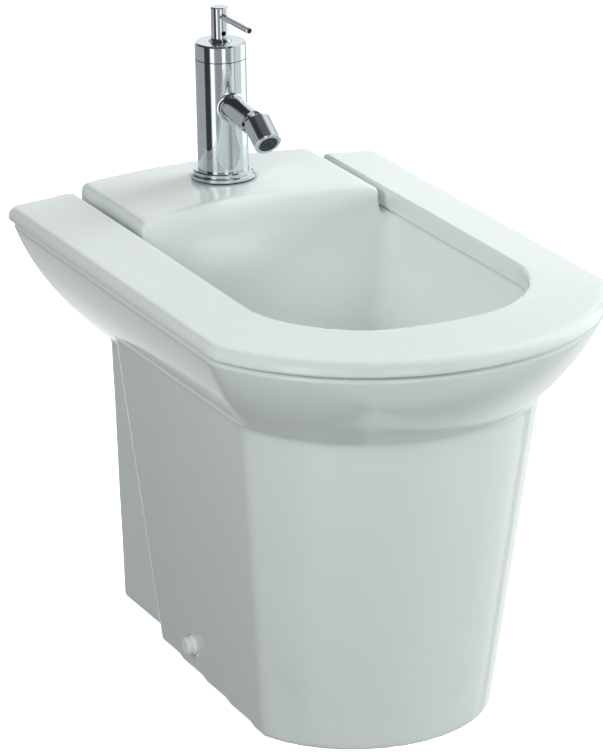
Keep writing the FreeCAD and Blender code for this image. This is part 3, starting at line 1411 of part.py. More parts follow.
def ball_packing():
    """Seat ring between the ball and the nozzle."""
    band = PACKING_BEHIND_BALL + PACKING_AHEAD_OF_BALL
    slice_ = rod(2 * PACKING_RADIUS, nozzle_place(-PACKING_BEHIND_BALL), NOZZLE_DIRECTION, band)
    ring = Part.makeSphere(PACKING_RADIUS, BALL_CENTRE).common(slice_)
    return ring.cut(Part.makeSphere(BALL_SEAT, BALL_CENTRE))


def nozzle_shell():
    """Chrome nozzle with a socket for the ball and a thread for the aerator."""
    outer = NOZZLE_DIAMETER / 2
    edge = NOZZLE_EDGE
    lip = NOZZLE_LIP_DIAMETER / 2
    back = -NOZZLE_BEHIND_BALL
    front = NOZZLE_AHEAD_OF_BALL
    blank = nozzle_spin(
        [
            (0, back),
            (outer - edge, back),
            (outer, back + edge),
            (outer, front - edge),
            (outer - edge, front),
            (0, front),
        ]
    )
    mouth = outer - 2 * edge
    funnel = nozzle_spin(
        [(0, back - 0.01), (mouth, back - 0.01), (lip, -NOZZLE_LIP_SETBACK - edge / 2), (lip, 0), (0, 0)]
    )
    ahead = rod(
        2 * SOCKET_RADIUS,
        nozzle_place(-NOZZLE_LIP_SETBACK),
        NOZZLE_DIRECTION,
        NOZZLE_LIP_SETBACK + AERATOR_SHOULDER,
    )
    socket = Part.makeSphere(SOCKET_RADIUS, BALL_CENTRE).common(ahead)
    waterway = rod(AERATOR_WATERWAY / 2, BALL_CENTRE, NOZZLE_DIRECTION, front)
    thread = rod(AERATOR_THREAD_DIAMETER / 2, nozzle_place(AERATOR_SHOULDER), NOZZLE_DIRECTION, front)
    return blank.cut([funnel, socket, waterway, thread])


AERATOR_FIT = AERATOR_THREAD_DIAMETER / 2 - SLIDE_CLEARANCE
AERATOR_SEAT = AERATOR_SHOULDER + AERATOR_WASHER_THICKNESS
AERATOR_RING_LOW = AERATOR_SEAT + AERATOR_FLANGE_LENGTH


def aerator_washer():
    """Rubber ring behind the aerator."""
    place = nozzle_place(AERATOR_SHOULDER)
    return tube(AERATOR_FIT, AERATOR_WATERWAY / 2, place, NOZZLE_DIRECTION, AERATOR_WASHER_THICKNESS)


def aerator_insert():
    """Plastic flow straightener with a face of small holes."""
    nose = AERATOR_WINDOW / 2 - SLIDE_CLEARANCE
    front = NOZZLE_AHEAD_OF_BALL - AERATOR_RECESS
    blank = nozzle_spin(
        [
            (0, AERATOR_SEAT),
            (AERATOR_FIT, AERATOR_SEAT),
            (AERATOR_FIT, AERATOR_RING_LOW),
            (nose, AERATOR_RING_LOW),
            (nose, front),
            (0, front),
        ]
    )
    turn = FreeCAD.Rotation(Z_AXIS, NOZZLE_DIRECTION)
    holes = []
    rings = int((nose - AERATOR_HOLE) / AERATOR_PITCH)
    for ring in range(rings + 1):
        count = max(1, 6 * ring)
        for k in range(count):
            angle = radians(360 * k / count)
            spot = Vector(cos(angle), sin(angle), 0) * (ring * AERATOR_PITCH)
            start = nozzle_place(AERATOR_SEAT - 1) + turn.multVec(spot)
            holes.append(rod(AERATOR_HOLE / 2, start, NOZZLE_DIRECTION, front))
    return blank.cut(holes)


def aerator_ring():
    """Chrome ring that screws the aerator into the nozzle."""
    return tube(
        AERATOR_THREAD_DIAMETER / 2,
        AERATOR_WINDOW / 2,
        nozzle_place(AERATOR_RING_LOW),
        NOZZLE_DIRECTION,
        NOZZLE_AHEAD_OF_BALL - AERATOR_RING_LOW,
    )


DECK_UNDERSIDE = DECK_TOP - DECK_CROWN - DECK_THICKNESS - TAP_BASE
RUBBER_LOW = DECK_UNDERSIDE - RUBBER_HORSESHOE_THICKNESS
STEEL_LOW = RUBBER_LOW - STEEL_HORSESHOE_THICKNESS
STUD_NUT_LOW = STEEL_LOW - STUD_NUT_HEIGHT


def horseshoe(low, thickness):
    """Horseshoe plate under the deck, open to the rear for the supply hoses."""
    radius = HORSESHOE_DIAMETER / 2
    half = HORSESHOE_SLOT / 2
    plate = rod(radius, tap_place(low), Z_AXIS, thickness)
    front = TAP_Y + INLET_SETBACK - INLET_DIAMETER / 2 - HORSESHOE_HOSE_GAP
    slot = box((-half, half), (front, TAP_Y + 2 * radius), (TAP_BASE + low, TAP_BASE + low + thickness))
    hole = rod(STUD_DIAMETER / 2 + SLIDE_CLEARANCE, tap_place(low, STUD_OFFSET), Z_AXIS, thickness)
    return plate.cut([slot, hole])


def rubber_horseshoe():
    """Rubber horseshoe against the underside of the deck."""
    return horseshoe(RUBBER_LOW, RUBBER_HORSESHOE_THICKNESS)


def steel_horseshoe():
    """Steel horseshoe that spreads the load of the nut."""
    return horseshoe(STEEL_LOW, STEEL_HORSESHOE_THICKNESS)


def mounting_stud():
    """Threaded stud that hangs from the mixer body."""
    low = STUD_NUT_LOW - STUD_BELOW_NUT
    return rod(STUD_DIAMETER / 2, tap_place(low, STUD_OFFSET), Z_AXIS, TAP_SPIGOT_LIFT + STUD_GRIP - low)


def mounting_nut():
    """Hexagon nut on the stud."""
    nut = hex_bar(STUD_NUT_ACROSS, tap_place(STUD_NUT_LOW, STUD_OFFSET), STUD_NUT_HEIGHT)
    return nut.cut(rod(STUD_DIAMETER / 2, tap_place(STUD_NUT_LOW, STUD_OFFSET), Z_AXIS, STUD_NUT_HEIGHT))


NODES = {
    "ceramic_body": ceramic_body,
    "rim_ring": rim_ring,
    "fixing_caps": fixing_caps,
    "fixing_bushes": fixing_bushes,
    "fixing_screws": fixing_screws,
    "floor_brackets": floor_brackets,
    "waste_body": waste_body,
    "waste_upper_gasket": waste_upper_gasket,
    "waste_lower_gasket": waste_lower_gasket,
    "waste_back_nut": waste_back_nut,
    "click_cartridge": click_cartridge,
    "plug_cap": plug_cap,
    "plug_seal": plug_seal,
    "plug_stem": plug_stem,
    "trap_dip_tube": trap_dip_tube,
    "trap_waste_nut": trap_waste_nut,
    "trap_head": trap_head,
    "trap_inlet_nut": lambda: slip_nut(TRAP_INLET_END, Z_AXIS),
    "trap_inlet_seal": lambda: slip_seal(TRAP_INLET_END, Z_AXIS),
    "trap_cup": trap_cup,
    "trap_cup_gasket": trap_cup_gasket,
    "trap_outlet_nut": lambda: slip_nut(TRAP_OUTLET_END, Y_AXIS),
    "trap_outlet_seal": lambda: slip_seal(TRAP_OUTLET_END, Y_AXIS),
    "trap_outlet_pipe": trap_outlet_pipe,
    "tap_gasket": tap_gasket,
    "tap_flange": tap_flange,
    "mixer_body": mixer_body,
    "mixer_cap": mixer_cap,
    "handle_turret": handle_turret,
    "lever_pin": lever_pin,
    "grub_screw": grub_screw,
    "cartridge_stem": cartridge_stem,
    "pivot_pin": pivot_pin,
    "cartridge_rotor": cartridge_rotor,
    "disc_carrier": disc_carrier,
    "moving_disc": moving_disc,
    "fixed_disc": fixed_disc,
    "cartridge_seal": cartridge_seal,
    "cartridge_housing": cartridge_housing,
    "retaining_nut": retaining_nut,
    "spout_ball": spout_ball,
    "ball_packing": ball_packing,
    "nozzle_shell": nozzle_shell,
    "aerator_washer": aerator_washer,
    "aerator_insert": aerator_insert,
    "aerator_ring": aerator_ring,
    "rubber_horseshoe": rubber_horseshoe,
    "steel_horseshoe": steel_horseshoe,
    "mounting_stud": mounting_stud,
    "mounting_nut": mounting_nut,
}

os.makedirs("parts", exist_ok=True)
for name, make in NODES.items():
    shape = make()
    print(name, "solids", len(shape.Solids), "valid", shape.isValid(), "volume", round(shape.Volume))
    shape.exportStep("parts/" + name + ".step")
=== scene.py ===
"""Looks of a floor-standing ceramic bidet with a single-lever mixer.

Everything is in metres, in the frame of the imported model: +Z up, -Y towards the user, +Y towards the
wall, origin on the floor under the middle of the rim.
"""

import json
import logging
import math
from dataclasses import dataclass, field
from enum import Enum
from typing import Any

import bmesh
import bpy
from mathutils import Matrix, Vector, geometry

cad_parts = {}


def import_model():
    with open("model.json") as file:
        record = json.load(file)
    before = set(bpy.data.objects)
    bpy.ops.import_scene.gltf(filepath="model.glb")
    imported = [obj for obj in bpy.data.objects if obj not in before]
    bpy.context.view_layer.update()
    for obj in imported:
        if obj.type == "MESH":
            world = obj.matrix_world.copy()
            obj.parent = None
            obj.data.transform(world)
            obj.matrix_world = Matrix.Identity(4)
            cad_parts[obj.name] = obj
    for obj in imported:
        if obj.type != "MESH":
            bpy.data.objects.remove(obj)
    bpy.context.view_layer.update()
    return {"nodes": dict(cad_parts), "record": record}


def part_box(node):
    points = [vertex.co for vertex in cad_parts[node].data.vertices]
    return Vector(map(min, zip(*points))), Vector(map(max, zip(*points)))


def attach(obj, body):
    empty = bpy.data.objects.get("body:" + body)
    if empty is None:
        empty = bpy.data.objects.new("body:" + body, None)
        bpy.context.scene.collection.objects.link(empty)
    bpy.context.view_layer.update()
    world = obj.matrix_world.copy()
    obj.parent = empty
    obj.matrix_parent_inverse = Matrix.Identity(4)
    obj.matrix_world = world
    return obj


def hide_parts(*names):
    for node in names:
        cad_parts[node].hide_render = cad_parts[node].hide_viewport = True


LOG = logging.getLogger("bidet")
MM = 0.001


class Body(Enum):
    """Rigid bodies of the frame that added pieces ride on."""

    BIDET = "bidet"
    HANDLE = "handle"


def linear(code: str) -> tuple[float, float, float, float]:
    """Turn an sRGB hex colour into a linear one.

    Args:
        code: Six hex digits.

    Returns:
        Red, green, blue and an alpha of 1.
    """
    channels = []
    for start in (0, 2, 4):
        value = int(code[start : start + 2], 16) / 255
        channels.append(value / 12.92 if value <= 0.04045 else ((value + 0.055) / 1.055) ** 2.4)
    return (channels[0], channels[1], channels[2], 1.0)


def add_node(
    tree: bpy.types.NodeTree,
    kind: str,
    settings: dict[str, Any] | None = None,
    values: dict[Any, Any] | None = None,
    links: dict[Any, bpy.types.NodeSocket] | None = None,
) -> bpy.types.Node:
    """Add one shader node.

    Args:
        tree: Node tree that gets it.
        kind: Blender's name for the kind of node.
        settings: Properties of the node itself.
        values: Input sockets, by name or number, and their fixed values.
        links: Input sockets, by name or number, and the sockets that feed them.

    Returns:
        The node.
    """
    node = tree.nodes.new(kind)
    for name, value in (settings or {}).items():
        setattr(node, name, value)
    for name, value in (values or {}).items():
        node.inputs[name].default_value = value
    for name, socket in (links or {}).items():
        tree.links.new(socket, node.inputs[name])
    return node


def per_millimetre(size_mm: float) -> float:
    """Scale of a noise pattern whose features are about this many millimetres."""
    return 1.0 / (size_mm * MM)


@dataclass(frozen=True)
class Finish:
    """A surface finish, with the faint unevenness that its making leaves.

    Attributes:
        name: Name of the material.
        colour: sRGB hex colour.
        shade: sRGB hex colour of the slightly different patches.
        metallic: 1 for a bare metal.
        roughness: Mean roughness.
        roughness_spread: How far the roughness wanders each way.
        grain_mm: Size of the patches.
        relief_mm: Size of the waves or grit in the surface.
        relief_height_mm: Height of those waves or grit.
        coat: Weight of a clear layer on top.
        ior: Refractive index, or None for a metal.
    """

    name: str
    colour: str
    shade: str
    metallic: float = 0.0
    roughness: float = 0.3
    roughness_spread: float = 0.05
    grain_mm: float = 40.0
    relief_mm: float = 4.0
    relief_height_mm: float = 0.0
    coat: float = 0.0
    ior: float | None = 1.5

    def material(self) -> bpy.types.Material:
        """Make the material, or find it if it is there.

        Returns:
            The material.
        """
        found = bpy.data.materials.get(self.name)
        if found:
            return found
        material = bpy.data.materials.new(self.name)
        material.use_nodes = True
        tree = material.node_tree
        tree.nodes.clear()
        place = add_node(tree, "ShaderNodeTexCoord")
        patches = add_node(
            tree,
            "ShaderNodeTexNoise",
            values={"Scale": per_millimetre(self.grain_mm), "Detail": 3.0},
            links={"Vector": place.outputs["Object"]},
        )
        tint = add_node(
            tree,
            "ShaderNodeMix",
            settings={"data_type": "RGBA"},
            values={6: linear(self.colour), 7: linear(self.shade)},
            links={0: patches.outputs["Fac"]},
        )
        gloss = add_node(
            tree,
            "ShaderNodeMapRange",
            values={
                "To Min": max(self.roughness - self.roughness_spread, 0.0),
                "To Max": self.roughness + self.roughness_spread,
            },
            links={"Value": patches.outputs["Fac"]},
        )
        values = {"Metallic": self.metallic, "Coat Weight": self.coat}
        if self.ior is not None:
            values["IOR"] = self.ior
        links = {"Base Color": tint.outputs[2], "Roughness": gloss.outputs[0]}
        if self.relief_height_mm:
            waves = add_node(
                tree,
                "ShaderNodeTexNoise",
                values={"Scale": per_millimetre(self.relief_mm), "Detail": 2.0},
                links={"Vector": place.outputs["Object"]},
            )
            bump = add_node(
                tree,
                "ShaderNodeBump",
                values={"Strength": 1.0, "Distance": self.relief_height_mm * MM},
                links={"Height": waves.outputs["Fac"]},
            )
            links["Normal"] = bump.outputs["Normal"]
        shader = add_node(tree, "ShaderNodeBsdfPrincipled", values=values, links=links)
        add_node(tree, "ShaderNodeOutputMaterial", links={"Surface": shader.outputs[0]})
        return material


# Vitreous china, cast and glazed: a cool white body under a thick clear glaze that levels almost flat.
GLAZE = Finish(
    "glazed_vitreous_china",
    colour="DEE4E3",
    shade="D8DFDE",
    roughness=0.09,
    roughness_spread=0.02,
    grain_mm=60.0,
    relief_mm=28.0,
    relief_height_mm=0.06,
    coat=0.35,
    ior=1.52,
)
# Brass, polished and chrome plated: a cold mirror with sharp reflections.
CHROME = Finish(
    "polished_chrome_plate",
    colour="DFE3E6",
    shade="D6DBDF",
    metallic=1.0,
    roughness=0.035,
    roughness_spread=0.015,
    grain_mm=14.0,
    ior=None,
)
# Brass as turned: warm yellow with fine tool marks.
BRASS = Finish(
    "turned_brass",
    colour="C9A45A",
    shade="B8924A",
    metallic=1.0,
    roughness=0.28,
    roughness_spread=0.08,
    grain_mm=5.0,
    relief_mm=0.8,
    relief_height_mm=0.03,
    ior=None,
)
# Steel, rolled and zinc plated: dull blue-grey spangle.
STEEL = Finish(
    "zinc_plated_steel",
    colour="B3B8BD",
    shade="9CA3AA",
    metallic=1.0,
    roughness=0.36,
    roughness_spread=0.08,
    grain_mm=6.0,
    relief_mm=1.5,
    relief_height_mm=0.03,
    ior=None,
)
# Steel, blackened in an oxide bath: near black with a dull oily sheen.
BLACK_STEEL = Finish(
    "black_oxide_steel",
    colour="26282A",
    shade="1C1D1F",
    metallic=1.0,
    roughness=0.42,
    roughness_spread=0.06,
    grain_mm=3.0,
    ior=None,
)
# Nitrile rubber, moulded: matt black with a faint grit.
RUBBER = Finish(
    "moulded_nitrile_rubber",
    colour="1B1C1D",
    shade="262728",
    roughness=0.62,
    roughness_spread=0.08,
    grain_mm=6.0,
    relief_mm=0.7,
    relief_height_mm=0.04,
    ior=1.52,
)
# Polypropylene, injection moulded: slightly waxy white.
POLYPROPYLENE = Finish(
    "moulded_white_polypropylene",
    colour="ECEFEE",
    shade="E3E7E6",
    roughness=0.32,
    roughness_spread=0.05,
    grain_mm=18.0,
    relief_mm=1.2,
    relief_height_mm=0.02,
    ior=1.49,
)
# Acetal, injection moulded: dark grey satin.
ACETAL = Finish(
    "moulded_grey_acetal",
    colour="3C3F42",
    shade="323538",
    roughness=0.38,
    roughness_spread=0.06,
    grain_mm=8.0,
    relief_mm=0.9,
    relief_height_mm=0.02,
    ior=1.48,
)
# Alumina, sintered and lapped: cream white with a silky face.
ALUMINA = Finish(
    "lapped_alumina",
    colour="EFE9DC",
    shade="E6DFD0",
    roughness=0.2,
    roughness_spread=0.04,
    grain_mm=5.0,
    ior=1.76,
)


def shade_smooth(piece: bpy.types.Object, angle: float = 30.0) -> None:
    """Shade an object smooth, but for its sharp creases.

    Args:
        piece: The object.
        angle: Least angle between two faces that makes a crease, in degrees.
    """
    bpy.context.view_layer.objects.active = piece
    for other in bpy.context.selected_objects:
        other.select_set(False)
    piece.select_set(True)
    bpy.ops.object.shade_smooth_by_angle(angle=math.radians(angle))


def dress(piece: bpy.types.Object, finish: Finish) -> None:
    """Give an object one finish all over."""
    piece.data.materials.clear()
    piece.data.materials.append(finish.material())


@dataclass
class Ceramics:
    """Bowl, tap deck and pedestal casting, and the rim ring on it, with glaze-rounded edges."""

    nodes: dict[str, bpy.types.Object]
    body_voxel_mm: float = 2.5
    ring_voxel_mm: float = 1.6
    smoothing_factor: float = 0.5
    body_smoothing: int = 8
    ring_smoothing: int = 6
    arm_end_mm: float = 22.0
    arm_end_smoothing: int = 140
    recess_depth_mm: float = 6.0
    recess_height_mm: float = 5.0
    recess_reach_mm: float = 14.0
    seat_tolerance_mm: float = 0.1
    face_share: float = 0.5

    def bake(self, piece: bpy.types.Object) -> None:
        """Turn an object's modifiers into its mesh.

        Args:
            piece: The object.
        """
        graph = bpy.context.evaluated_depsgraph_get()
        mesh = bpy.data.meshes.new_from_object(piece.evaluated_get(graph))
        piece.modifiers.clear()
        piece.data = mesh
        mesh.name = piece.name

    def cast(self, node: str, voxel_mm: float, smoothing: int) -> bpy.types.Object:
        """Copy a casting and round its edges as the glaze does.

        Args:
            node: CAD node to stand for.
            voxel_mm: Size of the new faces.
            smoothing: Rounds of smoothing.

        Returns:
            The casting, not yet dressed.
        """
        piece = bpy.data.objects.new(node + "_glazed", self.nodes[node].data.copy())
        bpy.context.scene.collection.objects.link(piece)
        remesh = piece.modifiers.new("cast", "REMESH")
        remesh.mode = "VOXEL"
        remesh.voxel_size = voxel_mm * MM
        smooth = piece.modifiers.new("glaze", "SMOOTH")
        smooth.factor = self.smoothing_factor
        smooth.iterations = smoothing
        self.bake(piece)
        return piece

    def ring_walls(self) -> list[tuple[Vector, Vector]]:
        """Find the straight runs of the outer edge of the ring's underside, but for the open rear.

        Returns:
            A point on each run and the direction from it towards the middle of the bowl.
        """
        corners = [vertex.co for vertex in self.nodes["rim_ring"].data.vertices]
        seat = min(corner.z for corner in corners)
        under = [corner.to_2d() for corner in corners if corner.z < seat + self.seat_tolerance_mm * MM]
        loop = [under[index] for index in geometry.convex_hull_2d(under)]
        runs = list(zip(loop, loop[1:] + loop[:1]))
        runs.remove(max(runs, key=lambda run: run[0].y + run[1].y))
        walls = []
        for start, end in runs:
            inward = (end - start).orthogonal().normalized()
            if inward.dot(start) > 0.0:
                inward.negate()
            walls.append((start, inward))
        return walls

    def recess_lip(self, body: bpy.types.Object) -> None:
        """Set the bowl's lip back under the ring, so that the ring throws a shadow line on it.

        Args:
            body: The casting.
        """
        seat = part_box("rim_ring")[0].z
        walls = self.ring_walls()
        for vertex in body.data.vertices:
            rise = min(1.0 - (seat - vertex.co.z) / (self.recess_height_mm * MM), 1.0)
            if rise <= 0.0:
                continue
            spot = vertex.co.to_2d()
            gaps = [((spot - start).dot(inward), inward) for start, inward in walls]
            gap, inward = min(gaps, key=lambda pair: pair[0])
            share = 1.0 - max(gap, 0.0) / (self.recess_reach_mm * MM)
            if share > 0.0:
                push = self.recess_depth_mm * MM * share * rise * rise * (3.0 - 2.0 * rise)
                vertex.co.x += inward.x * push
                vertex.co.y += inward.y * push

    def round_arm_ends(self, ring: bpy.types.Object) -> None:
        """Round the inner rear corners of the ring's arms more than its other edges.

        Args:
            ring: The ring.
        """
        rear = max(vertex.co.y for vertex in ring.data.vertices)
        side = max(vertex.co.x for vertex in ring.data.vertices)
        group = ring.vertex_groups.new(name="arm_ends")
        for vertex in ring.data.vertices:
            along = 1.0 - (rear - vertex.co.y) / (self.arm_end_mm * MM)
            across = (side - abs(vertex.co.x)) / (self.arm_end_mm * MM) - 1.0
            weight = min(along * 2.0, across, 1.0)
            if weight > 0.0:
                group.add([vertex.index], weight, "REPLACE")
        smooth = ring.modifiers.new("arm_ends", "SMOOTH")
        smooth.factor = self.smoothing_factor
        smooth.iterations = self.arm_end_smoothing
        smooth.vertex_group = group.name
        self.bake(ring)

    def glaze(self, piece: bpy.types.Object, node: str) -> None:
        """Thin a casting's mesh, dress it and put it in its node's place.

        Args:
            piece: The casting.
            node: CAD node that it stands for.
        """
        thin = piece.modifiers.new("thin", "DECIMATE")
        thin.ratio = self.face_share
        self.bake(piece)
        for polygon in piece.data.polygons:
            polygon.use_smooth = True
        dress(piece, GLAZE)
        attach(piece, Body.BIDET.value)
        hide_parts(node)
        LOG.info("%s: %d faces", piece.name, len(piece.data.polygons))

    def build(self) -> None:
        """Make the casting and the ring."""
        body = self.cast("ceramic_body", self.body_voxel_mm, self.body_smoothing)
        self.recess_lip(body)
        self.glaze(body, "ceramic_body")
        ring = self.cast("rim_ring", self.ring_voxel_mm, self.ring_smoothing)
        self.round_arm_ends(ring)
        self.glaze(ring, "rim_ring")


@dataclass
class Fittings:
    """Every turned, moulded or pressed piece that keeps its CAD shape."""

    nodes: dict[str, bpy.types.Object]
    finishes: dict[str, Finish] = field(
        default_factory=lambda: {
            "glaze": GLAZE,
            "chrome": CHROME,
            "brass": BRASS,
            "steel": STEEL,
            "rubber": RUBBER,
            "white_plastic": POLYPROPYLENE,
            "grey_plastic": ACETAL,
            "disc_ceramic": ALUMINA,
        }
    )
    specials: dict[str, Finish] = field(default_factory=lambda: {"grub_screw": BLACK_STEEL})

    def build(self, slots: dict[str, str]) -> None:
        """Dress each node with the finish of its material slot.

        Args:
            slots: Material slot of each node.
        """
        for node, piece in self.nodes.items():
            dress(piece, self.specials.get(node, self.finishes[slots[node]]))
            shade_smooth(piece)
            LOG.info("%s: %s", node, slots[node])


def revolve(
    name: str,
    profile: tuple[tuple[float, float], ...],
    base: Vector,
    axis: Vector,
    sides: int = 96,
) -> bpy.types.Object:
    """Turn a profile about an axis, as on a lathe.

    Args:
        name: Name of the piece.
        profile: Radius and height along the axis of each point in millimetres, with a closed run
            from the first point round to the last.
        base: Point on the axis where the height is nought, in metres.
        axis: Direction of the axis.
        sides: Number of steps round the axis.

    Returns:
        The piece.
    """
    turn = axis.to_track_quat("Z", "Y").to_matrix().to_4x4()
    place = Matrix.Translation(base) @ turn
    shape = bmesh.new()
    rings = []
    for radius, height in profile:
        count = sides if radius > 0 else 1
        ring = []
        for step in range(count):
            angle = math.tau * step / count
            spot = Vector((radius * math.cos(angle), radius * math.sin(angle), height)) * MM
            ring.append(shape.verts.new(place @ spot))
        rings.append(ring)
    pairs = list(zip(rings, rings[1:]))
    if profile[0][0] > 0 and profile[-1][0] > 0:
        pairs.append((rings[-1], rings[0]))
    for lower, upper in pairs:
        for step in range(sides):
            after = (step + 1) % sides
            corners = [lower[step % len(lower)], lower[after % len(lower)]]
            corners += [upper[after % len(upper)], upper[step % len(upper)]]
            shape.faces.new(list(dict.fromkeys(corners)))
    bmesh.ops.recalc_face_normals(shape, faces=shape.faces)
    mesh = bpy.data.meshes.new(name)
    shape.to_mesh(mesh)
    shape.free()
    piece = bpy.data.objects.new(name, mesh)
    bpy.context.scene.collection.objects.link(piece)
    return piece


@dataclass
class TapTrim:
    """Small dark pieces of the mixer: the washer in the cap's seam, whose dark rubber also paints the
    seam's shade line, and the plug in the lever's end, whose dark rubber also paints the dark reflection
    there.
    """

    seam_shade_washer_radius_mm: float = 22.97
    seam_shade_washer_depth_mm: float = 0.5
    seam_shade_washer_half_height_mm: float = 0.34
    seam_shade_washer_round_mm: float = 0.1
    reflection_plug_radius_mm: float = 2.2
    reflection_plug_crown_mm: float = 0.25

    def add_seam_shade_washer(self) -> None:
        """Lay the washer in the groove between the mixer's body and its cap; its dark rubber also paints
        the shade line in the seam.
        """
        low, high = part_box("mixer_cap")
        outer = self.seam_shade_washer_radius_mm
        inner = outer - self.seam_shade_washer_depth_mm
        half = self.seam_shade_washer_half_height_mm
        shoulder = outer - self.seam_shade_washer_round_mm
        profile = ((inner, 0.0), (shoulder, -half), (outer, 0.0), (shoulder, half))
        seam = Vector(((low.x + high.x) / 2, (low.y + high.y) / 2, low.z))
        # Dark rubber ring in the seam: partly a real washer, partly painted shade along the seam line.
        washer = revolve("cap_seam_washer_and_shade", profile, seam, Vector((0.0, 0.0, 1.0)))
        dress(washer, RUBBER)
        shade_smooth(washer)
        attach(washer, Body.BIDET.value)
        LOG.info("%s: rubber", washer.name)

    def add_reflection_plug(self) -> None:
        """Close the bored end of the lever with a dark plug, which also paints the dark reflection on the
        lever's end.
        """
        low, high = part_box("lever_pin")
        end = Vector(((low.x + high.x) / 2, low.y, (low.z + high.z) / 2))
        radius, crown = self.reflection_plug_radius_mm, self.reflection_plug_crown_mm
        profile = ((0.0, crown), (radius * 0.6, crown * 0.8), (radius * 0.9, crown * 0.4), (radius, 0.0))
        # Dark rubber plug on the lever's end: partly a real plug, partly a painted dark reflection.
        plug = revolve("lever_end_plug_and_reflection", profile, end, Vector((0.0, -1.0, 0.0)), sides=32)
        dress(plug, RUBBER)
        shade_smooth(plug)
        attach(plug, Body.HANDLE.value)
        LOG.info("%s: rubber", plug.name)

    def build(self) -> None:
        """Make both pieces."""
        self.add_seam_shade_washer()
        self.add_reflection_plug()


@dataclass(frozen=True)
class Panel:
    """An upright card or screen round the studio, which shows as a stripe in the chrome.

    Attributes:
        azimuth: Where its middle stands, in degrees from the camera, counted to the camera's right.
        half_width: Half its width in degrees.
        softness: Width of its soft edge in degrees.
        brightness: How bright it is.
    """

    azimuth: float
    half_width: float
    softness: float
    brightness: float


@dataclass(frozen=True)
class Softbox:
    """A soft light that faces the middle of the object and doesn't show in the chrome.

    Attributes:
        name: Name of the light.
        place: Where it hangs.
        size: Its width and height.
        power: Its power in watts.
    """

    name: str
    place: tuple[float, float, float]
    size: tuple[float, float]
    power: float


